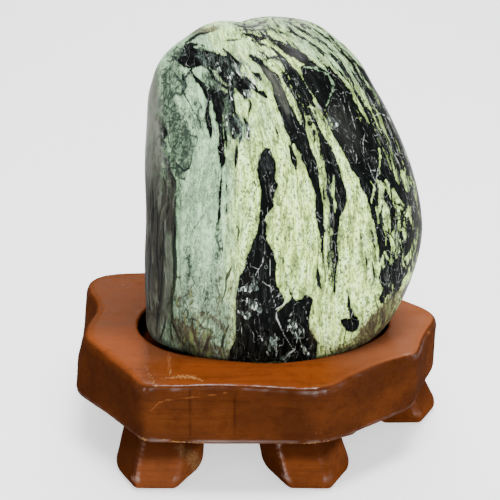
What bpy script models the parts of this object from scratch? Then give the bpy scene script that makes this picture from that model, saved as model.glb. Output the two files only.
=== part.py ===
"""A scholar's rock resting in a carved wooden stand.

The stone is a smooth, upright boulder of banded serpentine, one solid. It sits in a
shallow recess cut in the top of a thick slab with a scalloped outline, and the slab
stands on five splayed six-sided feet glued under it.

Units are metres, +Z is up, the ground is z = 0 and the broad banded face of the stone
looks along -Y. The pieces are drawn about the recess, and hang on one empty that moves
them together so that the origin is the middle of their footprint, on the ground.
"""

import math

import bmesh
import bpy
import numpy as np
from mathutils import Matrix, Vector, noise

COLLECTION_NAME = "scholars_rock"

# ---------------------------------------------------------------- driving dimensions
FOOT_HEIGHT = 0.0310
SLAB_THICKNESS = 0.0305
RECESS_DEPTH = 0.0120
REST_GAP = 0.0003  # between a foot and the slab, and under the stone

SLAB_BOTTOM = FOOT_HEIGHT
SLAB_TOP = SLAB_BOTTOM + SLAB_THICKNESS
RECESS_FLOOR = SLAB_TOP - RECESS_DEPTH
STONE_BOTTOM = RECESS_FLOOR + REST_GAP

# The slab's corners seen from above, anticlockwise from the front left one. Each row is
# the corner at the slab's underside, the same corner at its top, the corner's radius,
# the inward bow of the edge that follows it at the top and at the underside, and the
# width of the rounded top edge at the corner and halfway along that edge.
SLAB_CORNERS = (
    ((-0.0570, -0.0815), (-0.0590, -0.0775), 0.005, 0.0026, -0.0005, 0.0050, 0.0038),
    ((0.0330, -0.0830), (0.0325, -0.0812), 0.010, 0.0005, -0.0010, 0.0042, 0.0045),
    ((0.0600, -0.0632), (0.0605, -0.0540), 0.012, 0.0000, 0.0000, 0.0045, 0.0045),
    ((0.0800, -0.0475), (0.0820, -0.0430), 0.004, 0.0010, 0.0005, 0.0035, 0.0040),
    ((0.1010, 0.0040), (0.1012, 0.0065), 0.010, 0.0020, 0.0010, 0.0050, 0.0060),
    ((0.0710, 0.0560), (0.0700, 0.0535), 0.009, 0.0050, 0.0020, 0.0050, 0.0070),
    ((0.0190, 0.0840), (0.0180, 0.0810), 0.010, 0.0035, 0.0010, 0.0045, 0.0055),
    ((-0.0400, 0.0780), (-0.0390, 0.0750), 0.008, 0.0020, 0.0005, 0.0045, 0.0050),
    ((-0.1060, 0.0600), (-0.1035, 0.0610), 0.016, 0.0060, -0.0015, 0.0050, 0.0060),
    ((-0.0990, -0.0310), (-0.0960, -0.0230), 0.007, 0.0000, 0.0005, 0.0070, 0.0080),
)
CORNER_STEPS = 5  # points on each rounded corner
EDGE_STEPS = 6  # points between one corner and the next
EDGE_ROUND_STEPS = 4
UNDERSIDE_ROUND = 0.0015
UNDERSIDE_ROUND_MIDDLE = 0.3  # how far along its chamfer the round has its middle ring

# The recess's rim seen from above: its middle, and its reach from there every 30 degrees,
# anticlockwise from +X.
RECESS_CENTRE = (0.0030, -0.0050)
RECESS_REACH = (
    0.0682, 0.0620, 0.0495, 0.0430, 0.0500, 0.0655,
    0.0700, 0.0630, 0.0500, 0.0480, 0.0500, 0.0580,
)  # fmt: skip
RECESS_DRAFT = 0.0015  # how much narrower the recess is at its floor

# Feet: name, middle of the top, middle of the sole. Each is a six-sided block.
FEET = (
    ("foot_front_left", (-0.0486, -0.0530), (-0.0536, -0.0580)),
    ("foot_front_right", (0.0178, -0.0530), (0.0260, -0.0580)),
    ("foot_right", (0.0690, 0.0070), (0.0815, 0.0070)),
    ("foot_back", (0.0110, 0.0520), (0.0130, 0.0600)),
    ("foot_back_left", (-0.0590, 0.0320), (-0.0690, 0.0360)),
)
FOOT_SIDES = 6
FOOT_TOP_REACH = 0.0214  # from the middle to a corner
FOOT_BELLY_REACH = 0.0238
FOOT_SOLE_REACH = 0.0206
FOOT_BELLY_HEIGHT = 0.0060  # below this the foot is chamfered in to its sole
FOOT_EDGE_ROUND = 0.0024
FOOT_ROUND_ANGLE = math.radians(12)
FOOT_HEADING = math.radians(30)  # turns a flat side to the front

# The stone's level sections, bottom to top: latitude on the sphere that it is shaped from
# in degrees, height above the stone's bottom, its reach to the left, right, front and
# back, and how square its front left quarter is (2 is an ellipse, and more is boxier).
STONE_SECTIONS = (
    (-90, 0.0000, 0.0060, 0.0060, -0.0080, -0.0080, 2.0),
    (-66, 0.0000, -0.0260, 0.0320, -0.0290, 0.0140, 2.0),
    (-53, 0.0035, -0.0475, 0.0520, -0.0420, 0.0260, 2.2),
    (-43, 0.0110, -0.0583, 0.0630, -0.0490, 0.0320, 2.4),
    (-30, 0.0260, -0.0608, 0.0750, -0.0535, 0.0380, 2.6),
    (-12, 0.0510, -0.0605, 0.0832, -0.0565, 0.0430, 2.8),
    (6, 0.0760, -0.0590, 0.0848, -0.0565, 0.0450, 2.8),
    (24, 0.1030, -0.0590, 0.0782, -0.0540, 0.0430, 2.7),
    (40, 0.1270, -0.0570, 0.0670, -0.0495, 0.0390, 2.5),
    (52, 0.1438, -0.0552, 0.0580, -0.0440, 0.0330, 2.4),
    (62, 0.1578, -0.0493, 0.0495, -0.0370, 0.0255, 2.2),
    (71, 0.1682, -0.0368, 0.0378, -0.0290, 0.0180, 2.1),
    (80, 0.1757, -0.0228, 0.0255, -0.0190, 0.0080, 2.0),
    (90, 0.1782, 0.0040, 0.0040, -0.0050, -0.0050, 2.0),
)
STONE_AXIS = (0.0060, -0.0080)  # the broadest place of each section
SQUARENESS = 2.1  # of the other three quarters
POLE_BLEND = 24  # degrees over which the axis drifts to each pole's own middle
FRONT_BLEND = 0.0200  # the front's own features grow in over this depth

# A fold between the column at the stone's left and its broad face: a path of (across,
# height above the stone's bottom), deepening downwards.
FOLD_PATH = (
    (-0.0500, 0.1320), (-0.0465, 0.1230), (-0.0430, 0.1090), (-0.0412, 0.0910),
    (-0.0420, 0.0720), (-0.0435, 0.0500), (-0.0452, 0.0340), (-0.0450, 0.0240),
    (-0.0420, 0.0165), (-0.0360, 0.0100),
)  # fmt: skip
FOLD_DEPTHS = ((0.0400, 0.0036), (0.1300, 0.0010))  # (height, depth), low and high
FOLD_HALF_WIDTH = 0.0050

# The dip between the stone's two crowns, seen from above.
SADDLE_POINT = (-0.0060, -0.0050)
SADDLE_HEADING = math.radians(-52)
SADDLE_DEPTH = 0.0026
SADDLE_HALF_WIDTH = 0.0062
SADDLE_FADE = (0.1560, 0.1720)  # heights above the stone's bottom

# Broad hollows on the front, or swells where the depth is negative: the middle and the
# reach, both across and up, and the depth. The last one is the small worn pit.
HOLLOWS = (
    ((0.0050, 0.0300), (0.0260, 0.0230), 0.0014),
    ((0.0060, 0.1050), (0.0110, 0.0260), 0.0010),
    ((-0.0230, 0.0600), (0.0180, 0.0400), -0.0012),
    ((-0.0250, 0.1480), (0.0200, 0.0120), 0.0011),
    ((0.0330, 0.1250), (0.0200, 0.0180), -0.0010),
    ((0.0600, 0.0700), (0.0120, 0.0300), 0.0008),
    ((0.0455, 0.0310), (0.0068, 0.0036), 0.0030),
)
SWELL_SIZE = 0.0380  # the gentle unevenness of a river-worn stone
SWELL_HEIGHT = 0.0009
SWELL_BASE = 0.0100  # it fades out below this height, so that the stone sits flat
STONE_SUBDIVISIONS = 6
STONE_KEPT = 0.25  # share of the faces kept when its flatter stretches are thinned

# ------------------------------------------------------------------------- materials
STONE_GREEN = (0.50, 0.55, 0.42, 1.0)
SLAB_BROWN = (0.32, 0.11, 0.040, 1.0)
FOOT_BROWN = (0.25, 0.08, 0.028, 1.0)
STONE_ROUGHNESS = 0.30
WOOD_ROUGHNESS = 0.28
SHARP_ANGLE = math.radians(40)


def make_material(name, colour, roughness):
    """A non-metallic finish of one colour."""
    material = bpy.data.materials.new(name)
    material.use_nodes = True
    shader = material.node_tree.nodes["Principled BSDF"]
    shader.inputs["Base Color"].default_value = colour
    shader.inputs["Roughness"].default_value = roughness
    shader.inputs["Metallic"].default_value = 0.0
    return material


def clear_scene():
    """Removes what the scene holds, and returns the empty that the pieces hang on."""
    for old in list(bpy.data.objects):
        bpy.data.objects.remove(old)
    collection = bpy.data.collections.new(COLLECTION_NAME)
    bpy.context.scene.collection.children.link(collection)
    root = bpy.data.objects.new("footprint_middle", None)
    collection.objects.link(root)
    return root


def add_piece(name, shape, root, material):
    """Turns a bmesh into a smooth-shaded object of that name, parented to the empty."""
    mesh = bpy.data.meshes.new(name)
    bmesh.ops.recalc_face_normals(shape, faces=shape.faces)
    shape.to_mesh(mesh)
    shape.free()
    mesh.shade_smooth()
    mesh.set_sharp_from_angle(angle=SHARP_ANGLE)
    mesh.materials.append(material)
    piece = bpy.data.objects.new(name, mesh)
    piece.parent = root
    root.users_collection[0].objects.link(piece)
    return piece


# ------------------------------------------------------------------------------ slab
def bowed_outline(corners, bows):
    """Points round a polygon whose corners are rounded and whose edges bow inwards.

    corners is [(point, radius)], anticlockwise, and bows holds each edge's inward bow.
    Every corner gives CORNER_STEPS points and every edge EDGE_STEPS, so two outlines of
    the same corner count match point for point.
    """
    count = len(corners)
    starts, ends = [], []
    for i, (corner, radius) in enumerate(corners):
        before = Vector(corners[i - 1][0]) - Vector(corner)
        after = Vector(corners[(i + 1) % count][0]) - Vector(corner)
        starts.append(Vector(corner) + before.normalized() * radius)
        ends.append(Vector(corner) + after.normalized() * radius)
    points = []
    for i, (corner, _) in enumerate(corners):
        for step in range(CORNER_STEPS):
            t = step / (CORNER_STEPS - 1)
            near = starts[i].lerp(Vector(corner), t)
            points.append(near.lerp(Vector(corner).lerp(ends[i], t), t))
        run = starts[(i + 1) % count] - ends[i]
        inwards = Vector((-run.y, run.x)).normalized()
        for step in range(1, EDGE_STEPS + 1):
            t = step / (EDGE_STEPS + 1)
            bow = bows[i] * math.sin(math.pi * t) ** 2
            points.append(ends[i] + run * t + inwards * bow)
    return points


def round_widths():
    """The width of the rounded top edge at each point of the outline."""
    widths = []
    for i, row in enumerate(SLAB_CORNERS):
        at_corner, halfway = row[5], row[6]
        next_corner = SLAB_CORNERS[(i + 1) % len(SLAB_CORNERS)][5]
        widths += [at_corner] * CORNER_STEPS
        for step in range(1, EDGE_STEPS + 1):
            t = step / (EDGE_STEPS + 1)
            straight = at_corner + (next_corner - at_corner) * t
            widths.append(straight + (halfway - straight) * math.sin(math.pi * t) ** 2)
    return widths


def recess_reach(angle):
    """How far the recess's rim is from its middle, in that direction."""
    place = (angle % math.tau) / math.tau * len(RECESS_REACH)
    i, t = int(place), place % 1.0
    a, b, c, d = (RECESS_REACH[(i + k) % len(RECESS_REACH)] for k in (-1, 0, 1, 2))
    # A Catmull-Rom curve through the stated reaches.
    return b + 0.5 * t * (c - a + t * (2 * a - 5 * b + 4 * c - d + t * (3 * (b - c) + d - a)))


def rim_point(outline_point, inset=0.0):
    """The point of the recess's rim in the direction of a point of the outline."""
    towards = Vector(outline_point) - Vector(RECESS_CENTRE)
    reach = recess_reach(math.atan2(towards.y, towards.x)) - inset
    return Vector(RECESS_CENTRE) + towards.normalized() * reach


def moved_in(point, distance):
    """A point moved towards the middle of the recess."""
    return point + (Vector(RECESS_CENTRE) - point).normalized() * distance


def loft(rings):
    """A closed solid through rings of matching points, capped at both ends."""
    shape = bmesh.new()
    rings = [[shape.verts.new(point) for point in ring] for ring in rings]
    for lower, upper in zip(rings, rings[1:]):
        for i in range(len(lower)):
            j = (i + 1) % len(lower)
            shape.faces.new((lower[i], lower[j], upper[j], upper[i]))
    shape.faces.new(list(reversed(rings[0])))
    shape.faces.new(rings[-1])
    return shape


def make_slab(root, wood):
    """The slab, lofted from its underside up over its rounded edge and into the recess."""
    under = bowed_outline([(r[0], r[2]) for r in SLAB_CORNERS], [r[4] for r in SLAB_CORNERS])
    upper = bowed_outline([(r[1], r[2]) for r in SLAB_CORNERS], [r[3] for r in SLAB_CORNERS])
    widths = round_widths()
    wall_bottom = SLAB_BOTTOM + UNDERSIDE_ROUND
    middle = UNDERSIDE_ROUND * UNDERSIDE_ROUND_MIDDLE
    rings = [
        [(*moved_in(p, UNDERSIDE_ROUND), SLAB_BOTTOM) for p in under],
        [(*moved_in(p, middle), SLAB_BOTTOM + middle) for p in under],
        [(*p, wall_bottom) for p in under],
        [
            (*low.lerp(high, 0.5), (wall_bottom + SLAB_TOP - width) / 2)
            for low, high, width in zip(under, upper, widths)
        ],
    ]
    for step in range(EDGE_ROUND_STEPS + 1):
        turn = step / EDGE_ROUND_STEPS * math.pi / 2
        ring = []
        for p, width in zip(upper, widths):
            inset, drop = width * (1 - math.cos(turn)), width * (1 - math.sin(turn))
            ring.append((*moved_in(p, inset), SLAB_TOP - drop))
        rings.append(ring)
    rings.append([(*rim_point(p), SLAB_TOP) for p in upper])
    rings.append([(*rim_point(p, RECESS_DRAFT), RECESS_FLOOR) for p in upper])
    return add_piece("stand_slab", loft(rings), root, wood)


# ------------------------------------------------------------------------------ feet
def make_foot(name, top_centre, sole_centre, root, wood):
    """One foot: a six-sided block that leans outwards and is chamfered at its sole."""
    top = FOOT_HEIGHT - REST_GAP
    lean = Vector((*(Vector(top_centre) - Vector(sole_centre)), 0.0)) / top
    shape = bmesh.new()
    bmesh.ops.create_cone(
        shape,
        cap_ends=True,
        segments=FOOT_SIDES,
        radius1=FOOT_BELLY_REACH,
        radius2=FOOT_TOP_REACH,
        depth=top - FOOT_BELLY_HEIGHT,
    )
    bmesh.ops.translate(
        shape, verts=shape.verts, vec=(0, 0, (top + FOOT_BELLY_HEIGHT) / 2)
    )
    bmesh.ops.rotate(
        shape, verts=shape.verts, matrix=Matrix.Rotation(FOOT_HEADING, 3, "Z")
    )
    shape.normal_update()
    underside = [face for face in shape.faces if face.normal.z < -0.9]
    sole = bmesh.ops.extrude_discrete_faces(shape, faces=underside)["faces"][0]
    for vert in sole.verts:
        vert.co *= FOOT_SOLE_REACH / FOOT_BELLY_REACH
        vert.co.z = 0.0
    for vert in shape.verts:
        vert.co += lean * vert.co.z
    foot = add_piece(name, shape, root, wood)
    foot.location = (*sole_centre, 0.0)
    rounding = foot.modifiers.new("rounded_edges", "BEVEL")
    rounding.width = FOOT_EDGE_ROUND
    rounding.segments = 3
    rounding.angle_limit = FOOT_ROUND_ANGLE
    return foot


# ----------------------------------------------------------------------------- stone
def section_values(latitude):
    """The stone's section values at each latitude, on smooth curves through the rows."""
    table = np.array(STONE_SECTIONS)
    knots, values = table[:, 0], table[:, 1:]
    slopes = np.gradient(values, knots, axis=0)
    slopes[0, 0] = slopes[-1, 0] = 0.0  # level at the very bottom and the very top
    k = np.clip(np.searchsorted(knots, latitude) - 1, 0, len(knots) - 2)
    span = (knots[k + 1] - knots[k])[:, None]
    t = (latitude - knots[k])[:, None] / span
    return (
        (2 * t**3 - 3 * t**2 + 1) * values[k]
        + (t**3 - 2 * t**2 + t) * span * slopes[k]
        + (3 * t**2 - 2 * t**3) * values[k + 1]
        + (t**3 - t**2) * span * slopes[k + 1]
    )


def boulder(directions):
    """The plain boulder: where each direction of a unit sphere meets its surface."""
    latitude = np.degrees(np.arcsin(np.clip(directions[:, 2], -1, 1)))
    height, left, right, front, back, squareness = section_values(latitude).T
    heading = np.arctan2(directions[:, 1], directions[:, 0])
    c, s = np.cos(heading), np.sin(heading)
    power = np.where((c < 0) & (s < 0), squareness, SQUARENESS)
    size = (np.abs(c) ** power + np.abs(s) ** power) ** (1 / power)
    level = np.clip((90 - np.abs(latitude)) / POLE_BLEND, 0, 1)
    axis_x = STONE_AXIS[0] * level + (left + right) / 2 * (1 - level)
    axis_y = STONE_AXIS[1] * level + (front + back) / 2 * (1 - level)
    x = axis_x + c / size * np.where(c > 0, right - axis_x, axis_x - left)
    y = axis_y + s / size * np.where(s > 0, back - axis_y, axis_y - front)
    return np.stack([x, y, height], axis=1)


def distance_to_path(across, up, path):
    """Distance in the across-up plane from each point to the nearest part of a path."""
    nearest = np.full(len(across), np.inf)
    points = np.stack([across, up], axis=1)
    for a, b in zip(np.array(path), np.array(path)[1:]):
        run = b - a
        t = np.clip((points - a) @ run / (run @ run), 0, 1)
        away = np.linalg.norm(points - a - t[:, None] * run, axis=1)
        nearest = np.minimum(nearest, away)
    return nearest


def worn_depth(points):
    """How far each point of the surface is worn in, or stands out where it is negative."""
    x, y, z = points.T
    faces_front = np.clip((STONE_AXIS[1] - y) / FRONT_BLEND, 0, 1)

    away = distance_to_path(x, z, FOLD_PATH) / FOLD_HALF_WIDTH
    depth = np.interp(z, *zip(*FOLD_DEPTHS)) * np.exp(-(away**2)) * faces_front

    sideways = (x - SADDLE_POINT[0]) * math.sin(SADDLE_HEADING)
    sideways -= (y - SADDLE_POINT[1]) * math.cos(SADDLE_HEADING)
    fade = np.clip((z - SADDLE_FADE[0]) / (SADDLE_FADE[1] - SADDLE_FADE[0]), 0, 1)
    depth += SADDLE_DEPTH * np.exp(-((sideways / SADDLE_HALF_WIDTH) ** 2)) * fade

    for (mid_x, mid_z), (reach_x, reach_z), hollow in HOLLOWS:
        away = np.hypot((x - mid_x) / reach_x, (z - mid_z) / reach_z)
        depth += hollow * np.exp(-(away**3)) * faces_front

    swell = np.array([noise.noise(Vector(point) / SWELL_SIZE) for point in points])
    return depth + SWELL_HEIGHT * swell * np.clip(z / SWELL_BASE, 0, 1)


def make_stone(root, rock):
    """The stone: a sphere shaped to the sections, then worn in along its normals."""
    shape = bmesh.new()
    bmesh.ops.create_icosphere(shape, subdivisions=STONE_SUBDIVISIONS, radius=1.0)
    directions = np.array([vert.co for vert in shape.verts])
    points = boulder(directions / np.linalg.norm(directions, axis=1)[:, None])
    for vert, point in zip(shape.verts, points):
        vert.co = point
    shape.normal_update()
    normals = np.array([vert.normal for vert in shape.verts])
    points -= normals * worn_depth(points)[:, None]
    points[:, 2] = np.maximum(points[:, 2], 0.0)
    for vert, point in zip(shape.verts, points):
        vert.co = point
    stone = add_piece("stone", shape, root, rock)
    stone.location.z = STONE_BOTTOM
    thinning = stone.modifiers.new("thin_flatter_stretches", "DECIMATE")
    thinning.ratio = STONE_KEPT
    return stone


def put_origin_under_footprint(root, pieces):
    """Moves the empty so that the middle of the pieces' footprint is at x = y = 0."""
    bpy.context.view_layer.update()
    graph = bpy.context.evaluated_depsgraph_get()
    corners = []
    for piece in pieces:
        evaluated = piece.evaluated_get(graph)
        corners += [evaluated.matrix_world @ Vector(corner) for corner in evaluated.bound_box]
    middle = (np.min(corners, axis=0) + np.max(corners, axis=0)) / 2
    root.location = (-middle[0], -middle[1], 0.0)


def main():
    """Builds the stone, the slab and the feet."""
    root = clear_scene()
    rock = make_material("stone", STONE_GREEN, STONE_ROUGHNESS)
    slab_wood = make_material("slab_wood", SLAB_BROWN, WOOD_ROUGHNESS)
    foot_wood = make_material("foot_wood", FOOT_BROWN, WOOD_ROUGHNESS)
    pieces = [make_stone(root, rock), make_slab(root, slab_wood)]
    for name, top_centre, sole_centre in FEET:
        pieces.append(make_foot(name, top_centre, sole_centre, root, foot_wood))
    put_origin_under_footprint(root, pieces)


main()
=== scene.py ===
"""A scholar's rock of black and pale green river stone in its carved and lacquered wooden stand."""

import itertools
import logging
import math
from dataclasses import dataclass
from enum import Enum
from typing import Any, Sequence

import bmesh
import bpy
import numpy as np
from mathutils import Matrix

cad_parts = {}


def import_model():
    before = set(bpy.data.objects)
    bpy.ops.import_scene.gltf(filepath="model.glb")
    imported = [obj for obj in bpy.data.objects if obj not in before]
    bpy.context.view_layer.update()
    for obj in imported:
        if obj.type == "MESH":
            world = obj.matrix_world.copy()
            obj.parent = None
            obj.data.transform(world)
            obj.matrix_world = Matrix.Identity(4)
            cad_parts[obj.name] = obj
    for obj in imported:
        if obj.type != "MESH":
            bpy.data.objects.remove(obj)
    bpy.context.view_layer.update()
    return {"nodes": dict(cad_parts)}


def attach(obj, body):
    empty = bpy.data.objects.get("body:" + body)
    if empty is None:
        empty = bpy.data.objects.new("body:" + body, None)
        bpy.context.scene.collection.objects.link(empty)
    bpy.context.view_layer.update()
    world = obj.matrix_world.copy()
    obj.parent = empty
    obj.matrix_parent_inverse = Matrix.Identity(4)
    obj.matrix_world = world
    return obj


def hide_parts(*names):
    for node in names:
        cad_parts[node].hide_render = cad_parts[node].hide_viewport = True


log = logging.getLogger("scholars_rock")

Colour = tuple[float, float, float, float]
Place = tuple[float, float, float]
MM = 0.001
UNIT = 0.557  # millimetres of rock to a unit of the drawing board
FARTHEST = 9.0  # how far from a mark is still measured, in board units
SOFT_INSIDE = 0.4  # how much of a soft mark's softness lies inside its edge
TINY = 1e-9  # keeps a division away from zero
WELD = 0.01 * MM  # points nearer than this become one


# ------------------------------------------------------------
# Numbers over a surface


def hashed(cells: np.ndarray, seed: int) -> np.ndarray:
    """Gives each whole-numbered cell a steady number from 0 to 1.

    Args:
        cells: Whole numbers, three to a row.
        seed: Chooses one of many patterns.

    Returns:
        One number for each row.
    """
    parts = cells.astype(np.int64).astype(np.uint64)
    mixed = parts[..., 0] * np.uint64(0x9E3779B1) ^ parts[..., 1] * np.uint64(0x85EBCA77)
    mixed ^= parts[..., 2] * np.uint64(0xC2B2AE3D) ^ np.uint64(seed * 7919 + 17)
    mixed &= np.uint64(0xFFFFFFFF)
    mixed = (mixed ^ (mixed >> np.uint64(15))) * np.uint64(0x2C1B3C6D) & np.uint64(0xFFFFFFFF)
    mixed = (mixed ^ (mixed >> np.uint64(12))) * np.uint64(0x297A2D39) & np.uint64(0xFFFFFFFF)
    mixed ^= mixed >> np.uint64(15)
    return mixed.astype(np.float64) / 2.0**32


def smooth_noise(points: np.ndarray, seed: int = 0) -> np.ndarray:
    """Gives smooth numbers over space, a lump to each unit.

    Args:
        points: Places, three numbers to a row.
        seed: Chooses the pattern.

    Returns:
        One number for each point, from about -1 to 1.
    """
    base = np.floor(points)
    part = points - base
    fade = part**3 * (part * (part * 6 - 15) + 10)
    total = np.zeros(len(points))
    for corner in itertools.product((0, 1), repeat=3):
        share = np.prod(np.where(corner, fade, 1 - fade), axis=1)
        total += share * hashed(base + corner, seed)
    return 2 * total - 1


def layered_noise(points: np.ndarray, seed: int = 0, layers: int = 3, keep: float = 0.5) -> np.ndarray:
    """Adds smooth noise at ever finer scales.

    Args:
        points: Places, three numbers to a row.
        seed: Chooses the pattern.
        layers: How many scales, each twice as fine as the last.
        keep: The strength of each scale beside the one before it.

    Returns:
        One number for each point, from about -1 to 1.
    """
    total, strength, whole = np.zeros(len(points)), 1.0, 0.0
    for layer in range(layers):
        total += strength * smooth_noise(points * 2.0**layer + 13.7 * layer, seed + layer)
        whole += strength
        strength *= keep
    return total / whole


def eased(values: np.ndarray, low: float, high: float) -> np.ndarray:
    """Goes smoothly from 0 at low to 1 at high."""
    share = np.clip((values - low) / (high - low), 0, 1)
    return share * share * (3 - 2 * share)


# ------------------------------------------------------------
# The standpoint and the drawing board


@dataclass(frozen=True)
class Standpoint:
    """Where the object is seen from, and the upright board in front of it that its face is drawn on.

    The board is 500 units wide and 500 tall, counted from its top left corner, and a straight line
    from the eye through a spot on the board meets the object at the spot's place.
    """

    aim: Place = (-0.00349, 0.01685, 0.095)
    distance: float = 0.61281
    elevation: float = math.radians(22)
    lens: float = 79.2
    film: float = 36.0
    board: float = 500.0

    def forward(self) -> np.ndarray:
        """Returns the direction of sight."""
        return np.array((0, math.cos(self.elevation), -math.sin(self.elevation)))

    def upward(self) -> np.ndarray:
        """Returns the board's upward direction."""
        return np.array((0, math.sin(self.elevation), math.cos(self.elevation)))

    def eye(self) -> np.ndarray:
        """Returns the place of the eye."""
        return np.array(self.aim) - self.forward() * self.distance

    def on_board(self, points: np.ndarray) -> np.ndarray:
        """Finds the spots on the board that lie in front of points in space.

        Args:
            points: Places, three numbers to a row.

        Returns:
            Across and down, two numbers to a row.
        """
        sight = points - self.eye()
        scale = self.lens / self.film * self.board / (sight @ self.forward())
        return np.stack((self.board / 2 + sight[:, 0] * scale,
                         self.board / 2 - (sight @ self.upward()) * scale), axis=1)

    def facing(self, points: np.ndarray, normals: np.ndarray) -> np.ndarray:
        """Returns how squarely a surface faces the eye, from -1 to 1."""
        sight = self.eye() - points
        return (sight * normals).sum(axis=1) / np.linalg.norm(sight, axis=1)

    def place_camera(self) -> None:
        """Makes the scene's camera and stands it at the eye."""
        data = bpy.data.cameras.new("standpoint")
        data.lens, data.sensor_width, data.clip_start = self.lens, self.film, 0.01
        camera = bpy.data.objects.new("standpoint", data)
        camera.location = self.eye()
        camera.rotation_euler = (math.pi / 2 - self.elevation, 0, 0)
        bpy.context.scene.collection.objects.link(camera)
        bpy.context.scene.camera = camera


class Rock(Enum):
    """The boulder's two rocks."""

    BLACK = "black"
    PALE = "pale"


@dataclass(frozen=True)
class Stroke:
    """A mark on the board: a line of spots with a half width at each, or a closed patch.

    Each spot of a line is (across, down, half width). Each spot of a patch is (across, down).
    """

    spots: tuple[tuple[float, ...], ...]

    def inside(self, board: np.ndarray) -> np.ndarray:
        """Measures how far inside the mark each place is.

        Args:
            board: Places on the board, two numbers to a row.

        Returns:
            The distance in from the mark's edge, negative outside it, never under -FARTHEST.
        """
        spots = np.array(self.spots, float)
        line = spots.shape[1] == 3
        reach = FARTHEST + (spots[:, 2].max() if line else 0)
        low, high = spots[:, :2].min(0) - reach, spots[:, :2].max(0) + reach
        near = ((board >= low) & (board <= high)).all(axis=1)
        found = np.full(len(board), -FARTHEST)
        found[near] = (self._in_line if line else self._in_patch)(board[near], spots)
        return np.maximum(found, -FARTHEST)

    @staticmethod
    def _off_run(board: np.ndarray, start: np.ndarray, end: np.ndarray) -> tuple[np.ndarray, np.ndarray]:
        """Measures from a straight run.

        Args:
            board: Places on the board.
            start: Where the run starts.
            end: Where it ends.

        Returns:
            How far along the run each place is, from 0 to 1, and how far off it.
        """
        run = end - start
        share = np.clip((board - start) @ run / max(run @ run, TINY), 0, 1)
        off = board - start - share[:, None] * run
        return share, np.hypot(off[:, 0], off[:, 1])

    @classmethod
    def _in_line(cls, board: np.ndarray, spots: np.ndarray) -> np.ndarray:
        """Measures inside a tapering line."""
        best = np.full(len(board), -np.inf)
        for start, end in zip(spots[:-1], spots[1:]):
            share, off = cls._off_run(board, start[:2], end[:2])
            best = np.maximum(best, start[2] + share * (end[2] - start[2]) - off)
        return best

    @classmethod
    def _in_patch(cls, board: np.ndarray, spots: np.ndarray) -> np.ndarray:
        """Measures inside a closed outline."""
        away, within = np.full(len(board), np.inf), np.zeros(len(board), bool)
        for start, end in zip(spots, np.roll(spots, -1, axis=0)):
            away = np.minimum(away, cls._off_run(board, start, end)[1])
            crosses = (start[1] > board[:, 1]) != (end[1] > board[:, 1])
            run = end - start
            if abs(run[1]) > TINY:
                meets = start[0] + (board[:, 1] - start[1]) / run[1] * run[0]
                within ^= crosses & (board[:, 0] < meets)
        return np.where(within, away, -away)


def strokes(*marks: tuple[tuple[float, ...], ...]) -> tuple[Stroke, ...]:
    """Returns a stroke for each list of spots."""
    return tuple(Stroke(spots) for spots in marks)


def deepest(marks: Sequence[Stroke], board: np.ndarray) -> np.ndarray:
    """Measures how far each place is inside the mark that it is deepest in."""
    return np.max([mark.inside(board) for mark in marks], axis=0)


def soft_share(marks: Sequence[Stroke], board: np.ndarray, soft: float) -> np.ndarray:
    """Returns how far each place is in one of the marks, from 0 to 1, with edges of a softness."""
    return eased(deepest(marks, board), -soft, soft * SOFT_INSIDE)


@dataclass(frozen=True)
class GrainGuide:
    """One run of the rock's banding: its name in units across, and where it passes each level."""

    across: float
    passes: tuple[float, ...]


GRAIN_LEVELS = (20, 60, 100, 140, 180, 220, 260, 300, 350)
GRAIN_GUIDES = (
    GrainGuide(110, (120, 112, 108, 108, 110, 110, 110, 110, 110)),
    GrainGuide(150, (164, 157, 152, 151, 151, 150, 150, 150, 150)),
    GrainGuide(185, (186, 186, 189, 190, 187, 185, 185, 184, 184)),
    GrainGuide(220, (202, 208, 215, 221, 221, 220, 221, 222, 222)),
    GrainGuide(265, (220, 236, 252, 262, 266, 265, 262, 260, 258)),
    GrainGuide(300, (236, 256, 276, 290, 300, 304, 305, 304, 303)),
    GrainGuide(340, (262, 298, 314, 325, 336, 339, 338, 337, 336)),
    GrainGuide(380, (292, 330, 352, 366, 376, 380, 382, 382, 380)),
    GrainGuide(410, (320, 354, 377, 394, 404, 410, 410, 406, 400)),
    GrainGuide(450, (368, 398, 420, 436, 446, 450, 450, 446, 440)),
)


def across_grain(board: np.ndarray) -> np.ndarray:
    """Follows the banding from each place on the board down to its level run.

    Args:
        board: Places on the board, two numbers to a row.

    Returns:
        Where each one's run of banding passes across the board's lower half.
    """
    passes = np.stack([np.interp(board[:, 1], GRAIN_LEVELS, guide.passes) for guide in GRAIN_GUIDES])
    names = np.array([guide.across for guide in GRAIN_GUIDES])
    at = board[:, 0]
    found = names[0] + (at - passes[0])
    for i in range(len(names) - 1):
        share = (at - passes[i]) / (passes[i + 1] - passes[i])
        beyond = share > 0
        found = np.where(beyond, names[i] + share * (names[i + 1] - names[i]), found)
    return found
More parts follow.
